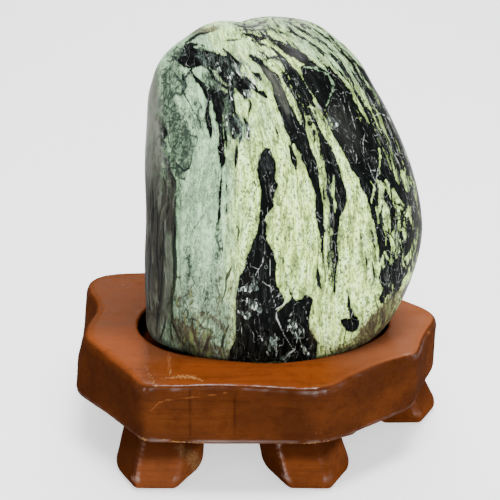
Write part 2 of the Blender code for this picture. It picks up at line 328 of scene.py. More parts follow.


# The marks on the board, each drawn as spots (across, down, half width) or as the corners
# of a patch (across, down). BANDING says which rock each group is and in what order they cover.

# black lines over the crown, from left to right
CROWN = strokes(
    ((232, 24, 0.6), (240, 26, 1.3), (250, 27, 1.6), (258, 25, 1.4), (268, 21, 0.7)),
    ((262, 25, 0.6), (272, 29, 1.2), (284, 34, 1.2), (296, 39, 1.2), (308, 45, 1.0), (318, 54, 0.5)),
    ((240, 30, 0.7), (252, 30, 1.2), (264, 29, 0.9), (276, 31, 0.5)),
    ((243, 33, 0.8), (250, 35, 2.0), (260, 38, 2.2), (267, 39, 0.9)),
    ((251, 40, 0.6), (258, 42, 1.2), (265, 46, 1.2), (271, 50, 0.5)),
    ((255, 48, 0.5), (262, 53, 1.0), (268, 58, 1.5), (274, 57, 1.6), (281, 60, 0.8)),
    ((266, 37, 1.0), (274, 41, 2.4), (283, 47, 4.2), (293, 52, 4.8), (303, 58, 4.6), (311, 64, 3.4),
     (318, 68, 2)),
    ((271, 47, 0.6), (277, 53, 1.6), (283, 60, 3.4), (289, 68, 4.6), (295, 78, 5.8), (300, 88, 5.6),
     (304, 97, 4.0), (307, 104, 2.6)),
    ((301, 100, 1.4), (303, 108, 1.2), (303.5, 116, 1.0), (306, 126, 0.8)),
    ((305, 104, 1.2), (309, 112, 1.6), (308, 120, 1.2), (311, 128, 0.9)),
    ((314, 110, 1.0), (317, 118, 1.2), (322, 126, 0.8)),
    ((284, 20, 0.5), (296, 27, 1.2), (306, 33, 1.5), (316, 39, 1.5), (326, 46, 1.2), (336, 52, 0.7)),
    ((292, 19, 0.4), (304, 25, 0.9), (316, 31, 1.0), (328, 39, 1.2), (338, 47, 1.5), (348, 56, 1.2),
     (356, 64, 0.6)),
    ((313, 33, 1.4), (319, 38, 2.2), (325, 42, 1.8), (333, 49, 1.1)),
    ((286, 31, 0.5), (297, 35, 1.1), (308, 42, 1.3), (318, 48, 1.0), (328, 55, 0.6)),
    ((318, 57, 0.7), (325, 64, 2.0), (332, 73, 2.6), (340, 82, 2.6), (348, 92, 2.8), (356, 104, 2.8),
     (364, 118, 2)),
    ((338, 60, 0.5), (347, 68, 1.4), (355, 76, 1.6), (362, 86, 1.4), (368, 97, 0.7)),
    ((346, 56, 0.6), (355, 65, 1.8), (363, 74, 2.2), (371, 84, 2.2), (379, 97, 2.6), (386, 110, 2.6)),
    ((333, 66, 0.5), (341, 73, 1.4), (349, 82, 1.3), (357, 92, 1.2), (364, 104, 0.6)),
)

# the broken black patch at the upper left
UPPER_LEFT = strokes(
    ((180, 52), (184, 45), (190, 42), (194, 43), (199, 44), (205, 46), (206, 51), (213, 53), (221, 53),
     (222, 59), (219, 68), (213, 70), (206, 65), (200, 66), (190, 69), (184, 68), (179, 60)),
    ((186, 43, 1.0), (191, 39, 1.6), (197, 35, 1.5), (205, 33, 1.2), (214, 31, 0.5)),
    ((170, 56, 0.6), (176, 58, 1.6), (181, 62, 2.2)),
    ((223, 50, 0.8), (228, 54, 2.0), (234, 60, 2.8), (240, 66, 1.8)),
    ((206, 58, 2.0), (212, 63, 3.2), (217, 68, 2.0)),
    ((232, 80, 1.5), (238, 87, 3.4), (243, 93, 2.6), (246, 97, 1.2)),
    ((240, 83, 2.0), (246, 80, 2.4), (249, 86, 3.0), (244, 92, 2.0)),
    ((250, 56, 1.4), (256, 60, 2.2), (262, 66, 2.6), (268, 73, 4.2), (275, 80, 5.2), (278, 90, 5.6),
     (281, 100, 5.8), (285, 109, 6.4), (290, 119, 7.8), (295, 129, 9.2), (300, 139, 10.2), (304, 147, 9.0)),
    ((253, 73, 1.0), (257, 76, 2.2), (259, 80, 1.0)),
    ((260, 91, 1.0), (263, 93, 2.6), (266, 97, 1.4)),
    ((249, 99, 0.8), (251, 105, 1.4), (249.5, 112, 1.2), (248, 117, 0.5)),
    ((225, 41, 0.5), (230, 40.5, 1.2), (236, 40, 0.9), (241, 40, 0.4)),
    ((205, 49), (214, 51), (223, 56), (228, 61), (224, 68), (218, 70), (211, 67), (206, 61)),
    ((220, 58), (227, 56), (235, 61), (240, 68), (241, 76), (238, 84), (231, 87), (224, 83), (219, 76),
     (217, 66)),
    ((235, 80), (241, 77), (248, 81), (251, 88), (248, 96), (242, 96), (237, 89)),
    ((250, 55, 0.8), (255, 58, 2.6), (261, 63, 2.2), (264, 67, 1.0)),
    ((252, 72, 0.8), (257, 75, 2.6), (261, 80, 1.6)),
    ((205, 66, 0.6), (211, 72, 1.4), (216, 80, 1.6), (222, 86, 2.0), (230, 88, 1.4)),
    ((194, 66, 0.6), (190, 72, 1.4), (186, 78, 1.0)),
)

# black flecks and lines on the left face
LEFT_FACE = strokes(
    ((175, 76, 1.0), (179, 79, 1.6), (182, 83, 0.8)),
    ((182, 72, 0.8), (184, 79, 2.0), (184.5, 87, 2.4), (182, 94, 1.2)),
    ((192, 71, 0.8), (194, 77, 1.6), (199, 82, 2.3), (205, 88, 3.0), (208, 95, 2.6), (209, 101, 1.2)),
    ((209, 99, 0.8), (208, 107, 1.8), (207.5, 116, 2.6), (209, 124, 3.0), (210.5, 131, 2.2),
     (210.5, 136, 0.7)),
    ((209, 84, 0.9), (211, 91, 1.7), (214, 99, 3.0), (217, 107, 4.2), (219, 115, 3.4), (220.5, 124, 2.2),
     (221, 134, 2.6), (222, 145, 2.4), (222.5, 155, 3.0), (221.5, 163, 2.0), (221.5, 170, 1.0),
     (221.4, 180, 0.7), (220, 187, 1.2), (220, 197, 1.4), (220, 206, 1.1), (219.4, 213, 1.4),
     (218.5, 220, 1.0), (218, 227, 0.4)),
    ((210, 76, 0.8), (215, 80, 1.4), (220, 85, 0.8)),
    ((216, 86, 0.9), (220, 91, 1.5), (224, 95, 2.8), (223, 98, 1.6)),
    ((229, 99, 0.4), (231, 109, 1.5), (232, 118, 1.8), (233.5, 127, 2.6), (235, 135, 2.8), (236, 140, 1.2)),
    ((224, 118, 0.5), (225, 128, 1.2), (226, 138, 1.4), (226, 148, 0.7)),
    ((226.5, 182, 0.4), (227, 190, 0.9), (227, 196, 0.4)),
    ((226.5, 204, 0.4), (226.8, 210, 1.0), (226.5, 215, 0.4)),
    ((158, 119, 0.8), (161, 126, 3.0), (165, 133, 3.4), (164, 138, 1.6)),
    ((160, 136, 0.8), (163, 143, 2.4), (166, 147, 1.2)),
    ((161, 150, 0.8), (164, 158, 1.8), (168, 166, 2.4), (170, 174, 3.0), (173, 182, 3.2), (175, 190, 1.6)),
    ((163, 178, 0.5), (166, 188, 1.2), (167.5, 200, 1.0), (168, 212, 1.6), (169, 222, 1.0),
     (171, 229, 0.6)),
    ((174.5, 196, 0.5), (174.5, 205, 1.6), (174, 214, 1.0), (175.5, 221, 1.8), (174.5, 233, 1.6),
     (174, 242, 0.9)),
)

# the black wedge in the middle and the black round its foot
WEDGE = strokes(
    ((262, 152), (266, 147), (270, 149), (272, 155), (275, 162), (276, 170), (275, 177), (278, 185),
     (276, 191), (274, 196), (273, 202), (274.5, 206), (271, 210), (268.5, 212), (266.5, 216), (266, 220),
     (267, 225), (266.5, 232), (267.5, 240), (271, 247), (273.5, 255), (276, 264), (275, 272), (276, 282),
     (279, 290), (283, 297), (285, 303), (281, 308), (277, 311), (279, 330), (284, 362), (228, 362),
     (229, 353), (233, 344), (236, 334), (235.5, 320), (236, 305), (236.5, 290), (239, 280), (243, 270),
     (245, 263), (247, 255), (250.5, 246), (254.5, 238), (257, 232), (258.5, 222), (260, 210), (260, 200),
     (261, 190), (259, 181), (257, 170), (258, 160)),
    ((276, 312), (281, 308), (286, 304), (290, 300), (291, 294), (296, 300), (301, 299), (305, 295),
     (310, 295.5), (313, 299), (311, 306), (309, 318), (309, 329), (313, 336), (318, 342), (317.5, 350),
     (316, 362), (276, 362)),
    ((285, 281, 0.5), (289, 288, 0.9), (291.5, 294, 1.2)),
    ((297, 289, 0.5), (300, 291.5, 0.8), (301, 292, 0.4)),
    ((340.5, 320), (344, 319), (349, 318), (354, 316), (358, 317), (360, 322), (358.5, 328), (353, 331.5),
     (348, 331), (344, 328), (341, 324)),
    ((347, 290, 0.3), (348.5, 299, 0.8), (350, 308, 1.4), (352, 316, 2.6)),
)

# the long black bands right of the middle
LONG_BANDS = strokes(
    ((262, 143, 0.4), (264, 148, 0.9), (266, 152, 0.9)),
    ((276, 124, 0.4), (277, 132, 1.0), (278, 141, 0.5)),
    ((291, 146, 2.2), (293, 154, 3.2), (294.5, 162, 2.8), (296, 170, 0.7)),
    ((302, 144, 8.0), (306, 152, 7.8), (310.5, 162, 6.4), (313.5, 172, 5.8), (316, 182, 5.2),
     (317.5, 189, 3.8), (319, 196, 3.4), (319.3, 206, 3.8), (319.5, 217, 3.8), (320.5, 225, 3.0),
     (322.5, 231, 3.4), (322, 240, 2.0), (322, 250, 2.2), (322.8, 258, 1.2), (323, 268, 0.4)),
    ((317, 260, 0.4), (317.3, 268, 1.0), (317.5, 277, 1.9), (319, 284, 1.9), (321.5, 290, 0.6)),
    ((317, 127, 0.8), (321.5, 138, 3.0), (326, 149, 5.6), (330, 160, 6.8), (333, 171, 6.8), (336, 182, 7.0),
     (339, 192, 7.6), (341, 201, 6.4), (340, 209, 5.0), (338, 216, 3.0), (338, 224, 1.6), (338, 234, 0.6)),
    ((328, 186, 1.6), (330, 195, 2.0), (332, 203, 1.8), (335, 210, 1.6)),
    ((301.5, 181, 0.4), (302, 185, 1.0), (301.5, 188, 0.4)),
    ((329, 233, 0.5), (330, 240, 1.4), (330, 247, 1.0), (331, 256, 2.2), (333, 263, 1.4), (332, 274, 0.5)),
    ((334.5, 240, 0.6), (335.5, 247, 2.2), (336.5, 254, 1.9), (336.5, 264, 1.0), (335.5, 272, 1.4),
     (334.5, 281, 1.0), (334.3, 290, 0.9), (334, 295, 0.4)),
    ((360, 229, 0.4), (361, 234, 1.1), (361.5, 240, 0.6), (362, 250, 0.5), (363.5, 259, 0.9),
     (364, 268, 0.4)),
    ((348, 291, 0.5), (349, 297, 1.0), (350.5, 303, 0.6)),
)

# the black upper right and what runs down from it
UPPER_RIGHT = strokes(
    ((300, 66), (310, 62), (320, 66), (330, 74), (340, 84), (349, 95), (356, 108), (362, 122), (366, 140),
     (372, 160), (377, 180), (379, 196), (378, 210), (383, 225), (386, 240), (385, 252), (381, 252),
     (377, 240), (374, 226), (370, 206), (366, 196), (360.5, 187), (356, 179), (350.5, 168), (345, 156),
     (339, 146), (333, 134), (327.5, 122), (321, 112), (316, 108), (311, 106), (306, 96), (302, 82)),
    ((352, 63), (360, 66), (372, 74), (386, 92), (402, 120), (415, 152), (424, 186), (424, 206), (414, 208),
     (404, 204), (398, 196), (394, 188), (390, 192), (384, 184), (378, 180), (370, 166), (364, 146),
     (360, 126), (362, 112), (366, 104), (364, 92), (358, 78)),
    ((414, 204), (424, 200), (425, 240), (420, 262), (413, 262), (411, 240), (413, 222)),
    ((371, 206, 1.4), (373, 214, 2.2), (376, 222, 2.4), (379, 232, 2.0), (382, 241, 3.2), (383, 249, 2.6),
     (383, 255, 0.8)),
    ((371.5, 230, 0.5), (373, 238, 1.4), (374.5, 247, 1.4), (375, 252, 0.5)),
    ((374.5, 254, 0.4), (375.5, 259, 1.0), (376, 263, 0.4)),
    ((404, 190, 2.6), (408, 199, 2.2), (406, 207, 2.2), (402, 213, 1.0)),
    ((401, 232, 1.2), (401.5, 236, 2.2), (401, 240, 1.0)),
    ((397, 220, 0.5), (398, 230, 0.8), (398.5, 241, 0.8), (400, 250, 1.5), (404, 253, 3.4), (409, 247, 3.2),
     (410, 238, 3.0), (408, 229, 2.0), (408, 218, 1.2)),
    ((404, 253, 2.6), (400, 260, 2.6), (395, 266, 3.0), (391, 274, 4.4), (389, 283, 4.4), (387, 290, 2.0)),
    ((385, 256, 0.8), (386, 263, 2.2), (389, 270, 3.4)),
    ((382, 266, 1.0), (381, 275, 2.0), (383, 284, 2.4)),
    ((404, 268, 1.2), (402, 276, 2.4), (401, 284, 1.0)),
    ((404, 261, 1.6), (406, 266, 1.4)),
)

# pale rock over all the black so far
PALE_STREAKS = strokes(
    ((194, 47, 1.0), (199, 46.5, 1.6), (203, 48, 1.0)),
    ((304, 66.5, 0.5), (311, 68, 0.8), (318, 67.5, 0.6)),
    ((314, 69, 0.2), (322, 71, 0.3), (328.5, 75, 0.6), (332.5, 81, 0.8), (333, 88, 0.7), (331, 95, 0.5),
     (329, 102, 0.4), (325, 106, 0.2)),
    ((289, 60, 0.3), (294, 67, 0.5), (299, 73, 0.5), (303, 80, 0.4), (308, 88, 0.5), (313, 95, 0.8),
     (316, 102, 1.2), (319, 109, 0.8)),
    ((282, 72, 1.6), (286, 80, 3.6), (289, 90, 4.6), (293, 100, 4.6), (296, 109, 3.4), (299, 119, 1.0)),
    ((304, 104, 0.5), (306, 112, 1.0), (306.5, 122, 1.6), (309, 133, 2.6), (313, 146, 3.2),
     (317.5, 157, 2.8), (320.5, 168, 2.2), (321.5, 180, 2.0), (324, 190, 3.0), (326, 200, 2.6)),
    ((313, 100, 0.6), (316, 108, 0.9), (319, 117, 1.0), (325, 128, 1.4), (330, 138, 1.9), (335, 149, 2.8),
     (341, 160, 3.6), (347, 171, 4.6), (353, 182, 6.0)),
    ((293, 146, 1.4), (296, 152, 2.2), (299, 158, 1.6)),
    ((334, 176, 0.4), (333, 184, 1.2), (333, 195, 1.5), (335, 205, 1.3), (336, 211, 0.5)),
    ((344, 74, 0.8), (352, 82, 1.8), (359, 92, 2.2), (365, 102, 2.0), (370, 108, 1.2)),
    ((354, 98, 0.5), (360, 107, 1.0), (365, 116, 0.9), (369, 124, 0.4)),
    ((379, 148, 0.6), (380, 156, 1.2), (379, 164, 0.7), (379.5, 174, 0.6)),
    ((389, 146, 0.5), (391, 154, 1.2), (392, 160, 0.5)),
    ((402, 168, 1.0), (404, 175, 2.6), (407, 184, 2.4), (408, 191, 1.2)),
    ((372, 82, 0.3), (380, 92, 0.5), (386, 102, 0.4)),
    ((362, 78, 0.6), (368, 85, 1.0), (375, 94, 1.0), (381, 105, 0.8), (386, 116, 0.5)),
    ((377, 138, 0.3), (384, 150, 0.7), (388, 160, 0.7), (391, 170, 0.4)),
    ((411, 176, 0.6), (414, 186, 0.9), (416, 196, 0.6)),
    ((418, 212, 0.5), (418.5, 226, 0.8), (417, 240, 0.6), (415, 250, 0.4)),
    ((395, 171, 0.8), (397, 176, 1.2), (396, 182, 0.6)),
    ((380, 182, 1.4), (383, 190, 1.2), (382, 200, 1.6), (383, 210, 1.4), (385, 222, 2.4)),
    ((386, 181, 1.2), (392, 192, 1.6), (397, 200, 3.2), (398, 210, 4.6), (392, 218, 5.0), (391, 226, 5.0)),
    ((371, 181, 0.4), (374, 188, 0.6), (373, 196, 0.7), (371.5, 202, 0.4)),
    ((376, 208, 0.4), (378, 217, 0.8), (379, 224, 0.5)),
    ((414, 172, 0.6), (416, 184, 1.0), (417, 194, 0.8)),
    ((284, 305, 0.8), (286, 301, 1.6), (287, 297, 1.2)),
    ((282, 31, 0.8), (292, 36, 2.0), (302, 42, 3.0), (312, 49, 3.8), (321, 57, 3.0), (328, 65, 1.4)),
    ((318, 44, 1.2), (328, 51, 2.6), (337, 60, 3.4), (345, 69, 3.6), (352, 79, 3.2), (359, 89, 2.8),
     (365, 99, 2.2), (369, 108, 1.2)),
    ((306, 30, 0.8), (318, 36, 1.6), (330, 44, 2.0), (342, 53, 2.0), (352, 62, 1.6)),
)

# black again, over the pale streaks
BLACK_AGAIN = strokes(
    ((377, 226, 0.6), (379, 240, 2.0), (381, 252, 2.2), (380, 262, 1.0)),
    ((388, 262, 1.0), (385, 272, 2.4), (386, 284, 2.6), (383, 295, 1.0)),
    ((413, 224, 1.2), (408, 240, 2.6), (402, 254, 3.0), (396, 266, 2.8), (392, 276, 1.6)),
    ((392, 204, 0.6), (394, 214, 2.0), (393, 226, 1.6), (390, 234, 0.6)),
    ((366, 252, 0.3), (367, 262, 0.9), (366, 272, 0.4)),
    ((372, 262, 0.3), (374, 272, 1.0), (373, 284, 0.5)),
    ((398, 284, 0.5), (395, 292, 1.2), (390, 300, 0.8)),
    ((343, 76, 0.4), (353, 88, 1.2), (361, 101, 1.6), (367, 114, 1.2), (371, 124, 0.6)),
    ((378, 108, 0.6), (386, 122, 1.8), (393, 138, 2.4), (399, 155, 2.4), (404, 170, 1.4)),
    ((352, 46, 0.3), (362, 58, 0.9), (371, 71, 1.2), (379, 84, 1.2), (388, 100, 1.0)),
    ((300, 36, 0.3), (309, 42, 0.8), (317, 49, 1.0), (324, 56, 0.6)),
    ((358, 66, 0.8), (366, 74, 1.8), (376, 88, 2.6), (386, 103, 2.8), (396, 119, 2.6), (404, 136, 1.6)),
    ((366, 88, 0.8), (374, 100, 2.0), (382, 113, 2.6), (390, 128, 2.8), (398, 145, 2.6), (404, 160, 2.0)),
    ((310, 112, 1.2), (315, 122, 2.2), (320, 132, 1.6)),
    ((392, 116, 0.8), (399, 130, 2.0), (406, 146, 2.4), (412, 162, 2.4), (416, 178, 1.6)),
    ((374, 106, 1.5), (382, 118, 3.2), (389, 134, 4.0), (396, 152, 4.0), (401, 168, 2.6)),
    ((385, 189, 0.8), (386, 195, 3.0), (388, 202, 3.0), (388, 206, 1.2)),
)

# the broken black lobes over the left face, and the last black lines
DARK_LOBES = strokes(
    ((213, 88, 1.6), (218, 96, 3.6), (219.5, 104, 4.4), (219, 112, 4.2), (217, 120, 2.4)),
    ((230, 114, 2.4), (232, 122, 3.6), (234, 131, 3.8), (235, 138, 2.2)),
    ((219, 146, 1.6), (221, 152, 3.0), (223, 158, 3.4), (223, 164, 2.0)),
    ((224, 66, 1.6), (228, 74, 3.2), (230.5, 83, 3.4), (230.5, 92, 3.6), (231.5, 102, 3.4),
     (233, 112, 2.4)),
    ((234, 112, 1.4), (237.5, 120, 2.6), (239.5, 128, 3.0), (240, 137, 2.2), (239, 144, 0.8)),
    ((243, 116, 0.6), (246.5, 124, 1.8), (248.5, 132, 2.0), (248, 140, 1.0)),
    ((236, 142, 0.8), (237, 152, 1.8), (236, 162, 1.2), (236, 168, 0.5)),
    ((244, 78, 2.4), (250, 84, 3.2), (256, 90, 2.4), (261, 94, 1.2)),
    ((203, 86, 1.4), (207, 92, 3.0), (210, 98, 2.6)),
    ((221, 66, 3.0), (229, 71, 4.4), (236, 78, 4.4), (243, 87, 4.6), (247, 94, 3.0)),
    ((390, 184, 0.5), (391, 192, 1.0), (392, 204, 0.8), (392, 214, 1.2), (391, 219, 0.6)),
    ((396, 204, 0.5), (399, 204.5, 1.6), (402, 206, 0.6)),
    ((371, 109, 1.0), (374, 118, 2.6), (376, 124, 2.2)),
    ((386, 232, 0.6), (388, 240, 1.6), (387, 250, 1.8), (390, 258, 1.4)),
    ((395, 226, 0.5), (399, 233, 1.4), (404, 240, 1.2)),
    ((397, 247, 0.8), (393, 254, 1.6), (396, 262, 1.2)),
    ((411, 260, 1.0), (406, 272, 2.2), (399, 282, 2.4), (394, 290, 1.6)),
    ((412, 275, 0.8), (408, 286, 1.6), (402, 296, 1.0)),
    ((380, 96, 1.0), (388, 110, 2.6), (396, 126, 3.0), (403, 144, 3.0), (409, 160, 2.4), (413, 172, 1.4)),
    ((403, 214, 0.6), (409, 222, 1.6), (411, 232, 2.0), (409, 244, 1.2)),
    ((383, 204, 0.5), (381, 214, 1.0), (384, 226, 1.2)),
    ((391, 268, 0.8), (386, 276, 1.6), (385, 288, 1.6), (381, 296, 0.8)),
)

BANDING = (
    (Rock.BLACK, CROWN),
    (Rock.BLACK, UPPER_LEFT),
    (Rock.BLACK, LEFT_FACE),
    (Rock.BLACK, WEDGE),
    (Rock.BLACK, LONG_BANDS),
    (Rock.BLACK, UPPER_RIGHT),
    (Rock.PALE, PALE_STREAKS),
    (Rock.BLACK, BLACK_AGAIN),
    (Rock.BLACK, DARK_LOBES),
)

# fine white veins
VEINS = strokes(
    ((265, 251, 0.28), (263.5, 257, 0.5), (262, 264, 0.44), (258, 270, 0.39), (255, 277, 0.39)),
    ((269, 252, 0.22), (270, 262, 0.33), (270, 274, 0.39), (269, 284, 0.33), (272, 295, 0.33),
     (275, 304, 0.39), (277, 309, 0.28)),
    ((262, 281, 0.5), (267, 285, 0.5), (273, 289, 0.33), (278, 291, 0.28)),
    ((276, 309, 0.44), (276.5, 318, 0.83), (280, 326, 0.66), (285, 336, 0.5), (289, 343, 0.44),
     (293, 349, 0.5)),
    ((277, 309, 0.5), (283, 305, 0.55), (287, 300, 0.5)),
    ((300, 333, 0.22), (297, 341, 0.39), (295, 350, 0.5), (290, 353, 0.88), (285, 358, 0.88)),
    ((241, 322, 0.22), (241.5, 330, 0.33), (241, 337, 0.22)),
    ((281, 290, 0.22), (277, 300, 0.28), (278, 306, 0.22)),
    ((302, 304, 0.22), (306, 311, 0.33), (307.5, 320, 0.28)),
    ((268, 214, 0.44), (265, 220, 0.39), (262, 226, 0.22)),
    ((267, 183, 0.17), (270, 186, 0.33), (272, 183, 0.17)),
    ((264, 165, 0.22), (267, 168, 0.33), (266, 174, 0.17)),
    ((275, 333, 0.28), (276, 345, 0.5), (276.5, 358, 0.39)),
    ((348, 100, 0.17), (350, 110, 0.33), (353, 120, 0.28), (356, 130, 0.17)),
    ((340, 100, 0.17), (344, 108, 0.33), (345, 116, 0.17)),
    ((365, 132, 0.17), (363, 142, 0.33), (364, 154, 0.22)),
    ((367, 160, 0.17), (371, 172, 0.33), (376, 182, 0.22)),
    ((378, 168, 0.22), (376, 180, 0.33), (373, 192, 0.33), (371, 202, 0.17)),
    ((384, 160, 0.17), (387, 166, 0.33), (390, 171, 0.17)),
    ((373, 117, 0.33), (379, 113, 0.5), (386, 116, 0.55), (392, 122, 0.44)),
    ((300, 44, 0.17), (309, 50, 0.28), (316, 57, 0.17)),
    ((394, 154, 0.22), (397, 160, 0.39), (400, 166, 0.22)),
    ((352, 144, 0.28), (353, 149, 0.5), (354, 153, 0.22)),
    ((355, 152, 0.22), (357, 158, 0.39), (356, 164, 0.22)),
    ((298, 130, 0.22), (297, 136, 0.39), (295, 141, 0.17)),
    ((335, 92, 0.17), (339, 96, 0.28), (341, 100, 0.17)),
    ((391, 116, 0.22), (396, 126, 0.33), (399, 135, 0.22)),
)

# hairline cracks; the first line runs down the fold and darkens it as painted shade in the crease
CRACKS = strokes(
    ((169, 160, 0.2), (173, 182, 0.5), (175.5, 205, 0.6), (175, 228, 0.8), (174.5, 246, 1.5),
     (175.5, 262, 1.8), (175, 280, 1.6), (172.5, 296, 1.4), (171.5, 308, 1.3), (172.5, 322, 1.4),
     (178, 336, 1.2), (184, 345, 0.8)),
    ((150, 236, 0.3), (151, 260, 0.8), (149, 285, 0.8), (150, 310, 0.6)),
    ((157, 200, 0.3), (158, 225, 0.7), (157, 250, 0.9), (159, 280, 0.7), (158, 300, 0.4)),
    ((163, 222, 0.4), (164, 240, 0.9), (163, 262, 0.9), (161, 290, 1.0), (158, 318, 0.9), (156, 335, 0.6)),
    ((153, 190, 0.3), (154, 210, 0.7), (153, 232, 0.5)),
    ((146, 250, 0.3), (146, 280, 0.6), (146, 300, 0.4)),
    ((166, 316, 0.5), (164, 328, 1.0), (160, 340, 1.0)),
    ((170, 320, 0.5), (171, 332, 1.0), (173, 343, 0.8)),
    ((184, 94, 0.9), (187, 99, 0.8), (190, 104, 0.6), (193, 111, 0.7), (197, 116, 0.7), (200, 122, 0.8),
     (200.5, 128, 0.5)),
    ((176, 163, 0.6), (180, 167, 0.7), (185, 171.5, 0.9), (189, 168, 0.7), (191, 161, 0.6),
     (192.5, 152, 0.4)),
    ((178, 258, 0.3), (190, 260, 0.4), (201, 264, 0.4), (211, 266.5, 0.4), (219, 267, 0.4),
     (224, 275, 0.3)),
    ((225, 236, 0.3), (231, 241, 0.45), (237, 248, 0.5), (243, 255, 0.45)),
    ((227, 172, 0.3), (232, 178, 0.5), (240, 184, 0.45), (247, 190, 0.5), (252, 195, 0.3)),
    ((188, 242, 0.2), (192, 232, 0.35), (199, 222, 0.35), (204, 214, 0.35), (207, 206, 0.3)),
    ((212, 198, 0.2), (215, 193, 0.4), (219, 190, 0.3)),
    ((382, 230, 0.5), (387, 232, 0.8), (391, 235, 0.8), (395, 241, 0.8), (397, 248, 0.5)),
    ((395, 221, 0.6), (401, 219.5, 0.9), (405, 214, 0.8), (407, 210, 0.5)),
    ((400, 203, 0.5), (403, 207, 0.8), (406, 208.5, 0.5)),
    ((283, 266, 0.4), (285, 272, 0.6), (288, 278, 0.5), (290, 281, 0.3)),
    ((283, 258, 0.5), (283.5, 261, 1.0), (283, 264, 0.4)),
    ((276, 236, 0.5), (277, 239, 1.0), (276.5, 242, 0.4)),
    ((222, 240, 0.4), (222.5, 249, 0.7), (222, 257, 0.5)),
    ((253, 178, 0.4), (255, 184, 0.9), (257, 188, 0.4)),
    ((257, 180, 0.3), (259, 186, 0.7), (261, 190, 0.4)),
    ((236, 226, 0.6), (239, 231, 0.9), (238, 236, 0.7), (237, 240, 0.4)),
    ((230.5, 269, 0.8), (228.5, 273, 1.5), (227, 277, 1.6), (226, 280, 0.8), (226, 289, 0.8),
     (224, 296, 0.8), (222, 300, 0.5), (217, 306, 0.3)),
    ((229, 325, 0.6), (226, 331, 1.1), (223, 339, 1.5), (222, 345, 1.0), (219, 354, 0.8)),
    ((207.5, 339, 0.7), (207.5, 345, 1.4), (206.5, 351, 0.8)),
    ((193, 318, 0.5), (192, 326, 1.1), (193, 334, 1.3), (196, 342, 1.0), (200, 350, 0.6)),
    ((211, 330, 0.3), (209, 338, 0.9), (206, 346, 1.5), (203, 352, 1.0)),
    ((177, 276, 0.4), (179, 277.5, 1.1), (181, 276, 0.4)),
    ((340, 262, 0.2), (349, 254, 0.35), (358, 246, 0.35), (366, 238, 0.2)),
    ((346, 330, 0.4), (344, 338, 0.6), (343, 348, 0.4)),
    ((374, 296, 0.3), (378, 308, 0.8), (377, 320, 1.0), (373, 332, 0.5)),
    ((388, 296, 0.4), (386, 308, 1.0), (381, 320, 1.0), (376, 328, 0.5)),
    ((395, 290, 0.3), (393, 302, 0.8), (388, 314, 0.7)),
    ((362, 322, 0.3), (366, 330, 0.9), (371, 337, 0.8), (372, 341, 0.4)),
    ((352, 338, 0.3), (357, 344, 0.9), (360, 350, 0.6)),
    ((366, 308, 0.3), (368, 316, 0.6), (372, 324, 0.4)),
    ((328, 346, 0.3), (331, 352, 0.8), (335, 357, 0.5)),
)

# soft grey green smudges in the pale rock
SMUDGES = strokes(
    ((162, 104, 4), (172, 110, 7), (180, 118, 10), (184, 130, 12), (183, 145, 10), (178, 158, 8),
     (184, 165, 5)),
    ((166, 72, 4), (172, 88, 7), (170, 104, 8), (166, 128, 6)),
    ((204, 58, 5), (214, 66, 7), (226, 76, 9), (238, 84, 7), (246, 92, 5)),
    ((182, 56, 6), (176, 64, 5), (172, 74, 4)),
    ((180, 176, 5), (176, 190, 4), (178, 205, 3)),
    ((218, 224, 1.5), (219, 236, 2.6), (218, 248, 3.4), (216, 256, 3.4), (213, 264, 2.0)),
    ((192, 128, 5), (194, 136, 4), (193, 143, 2)),
    ((219, 278, 1.0), (218, 290, 1.8), (216, 302, 1.4)),
    ((163, 200, 2.5), (164, 216, 2.5), (167, 228, 2.5)),
    ((296, 84, 2.0), (299, 94, 2.0), (297, 100, 1.2)),
    ((210, 74, 4), (214, 82, 5), (218, 92, 5), (224, 88, 3)),
    ((226, 96, 2), (227, 108, 4), (228, 122, 5), (229, 136, 5), (228, 148, 2)),
    ((329, 224, 2), (332, 236, 3), (332, 252, 3), (331, 268, 3), (333, 284, 2)),
    ((330, 78, 2), (334, 90, 2.5), (330, 104, 2)),
    ((236, 30, 2), (246, 36, 3), (258, 44, 3)),
)
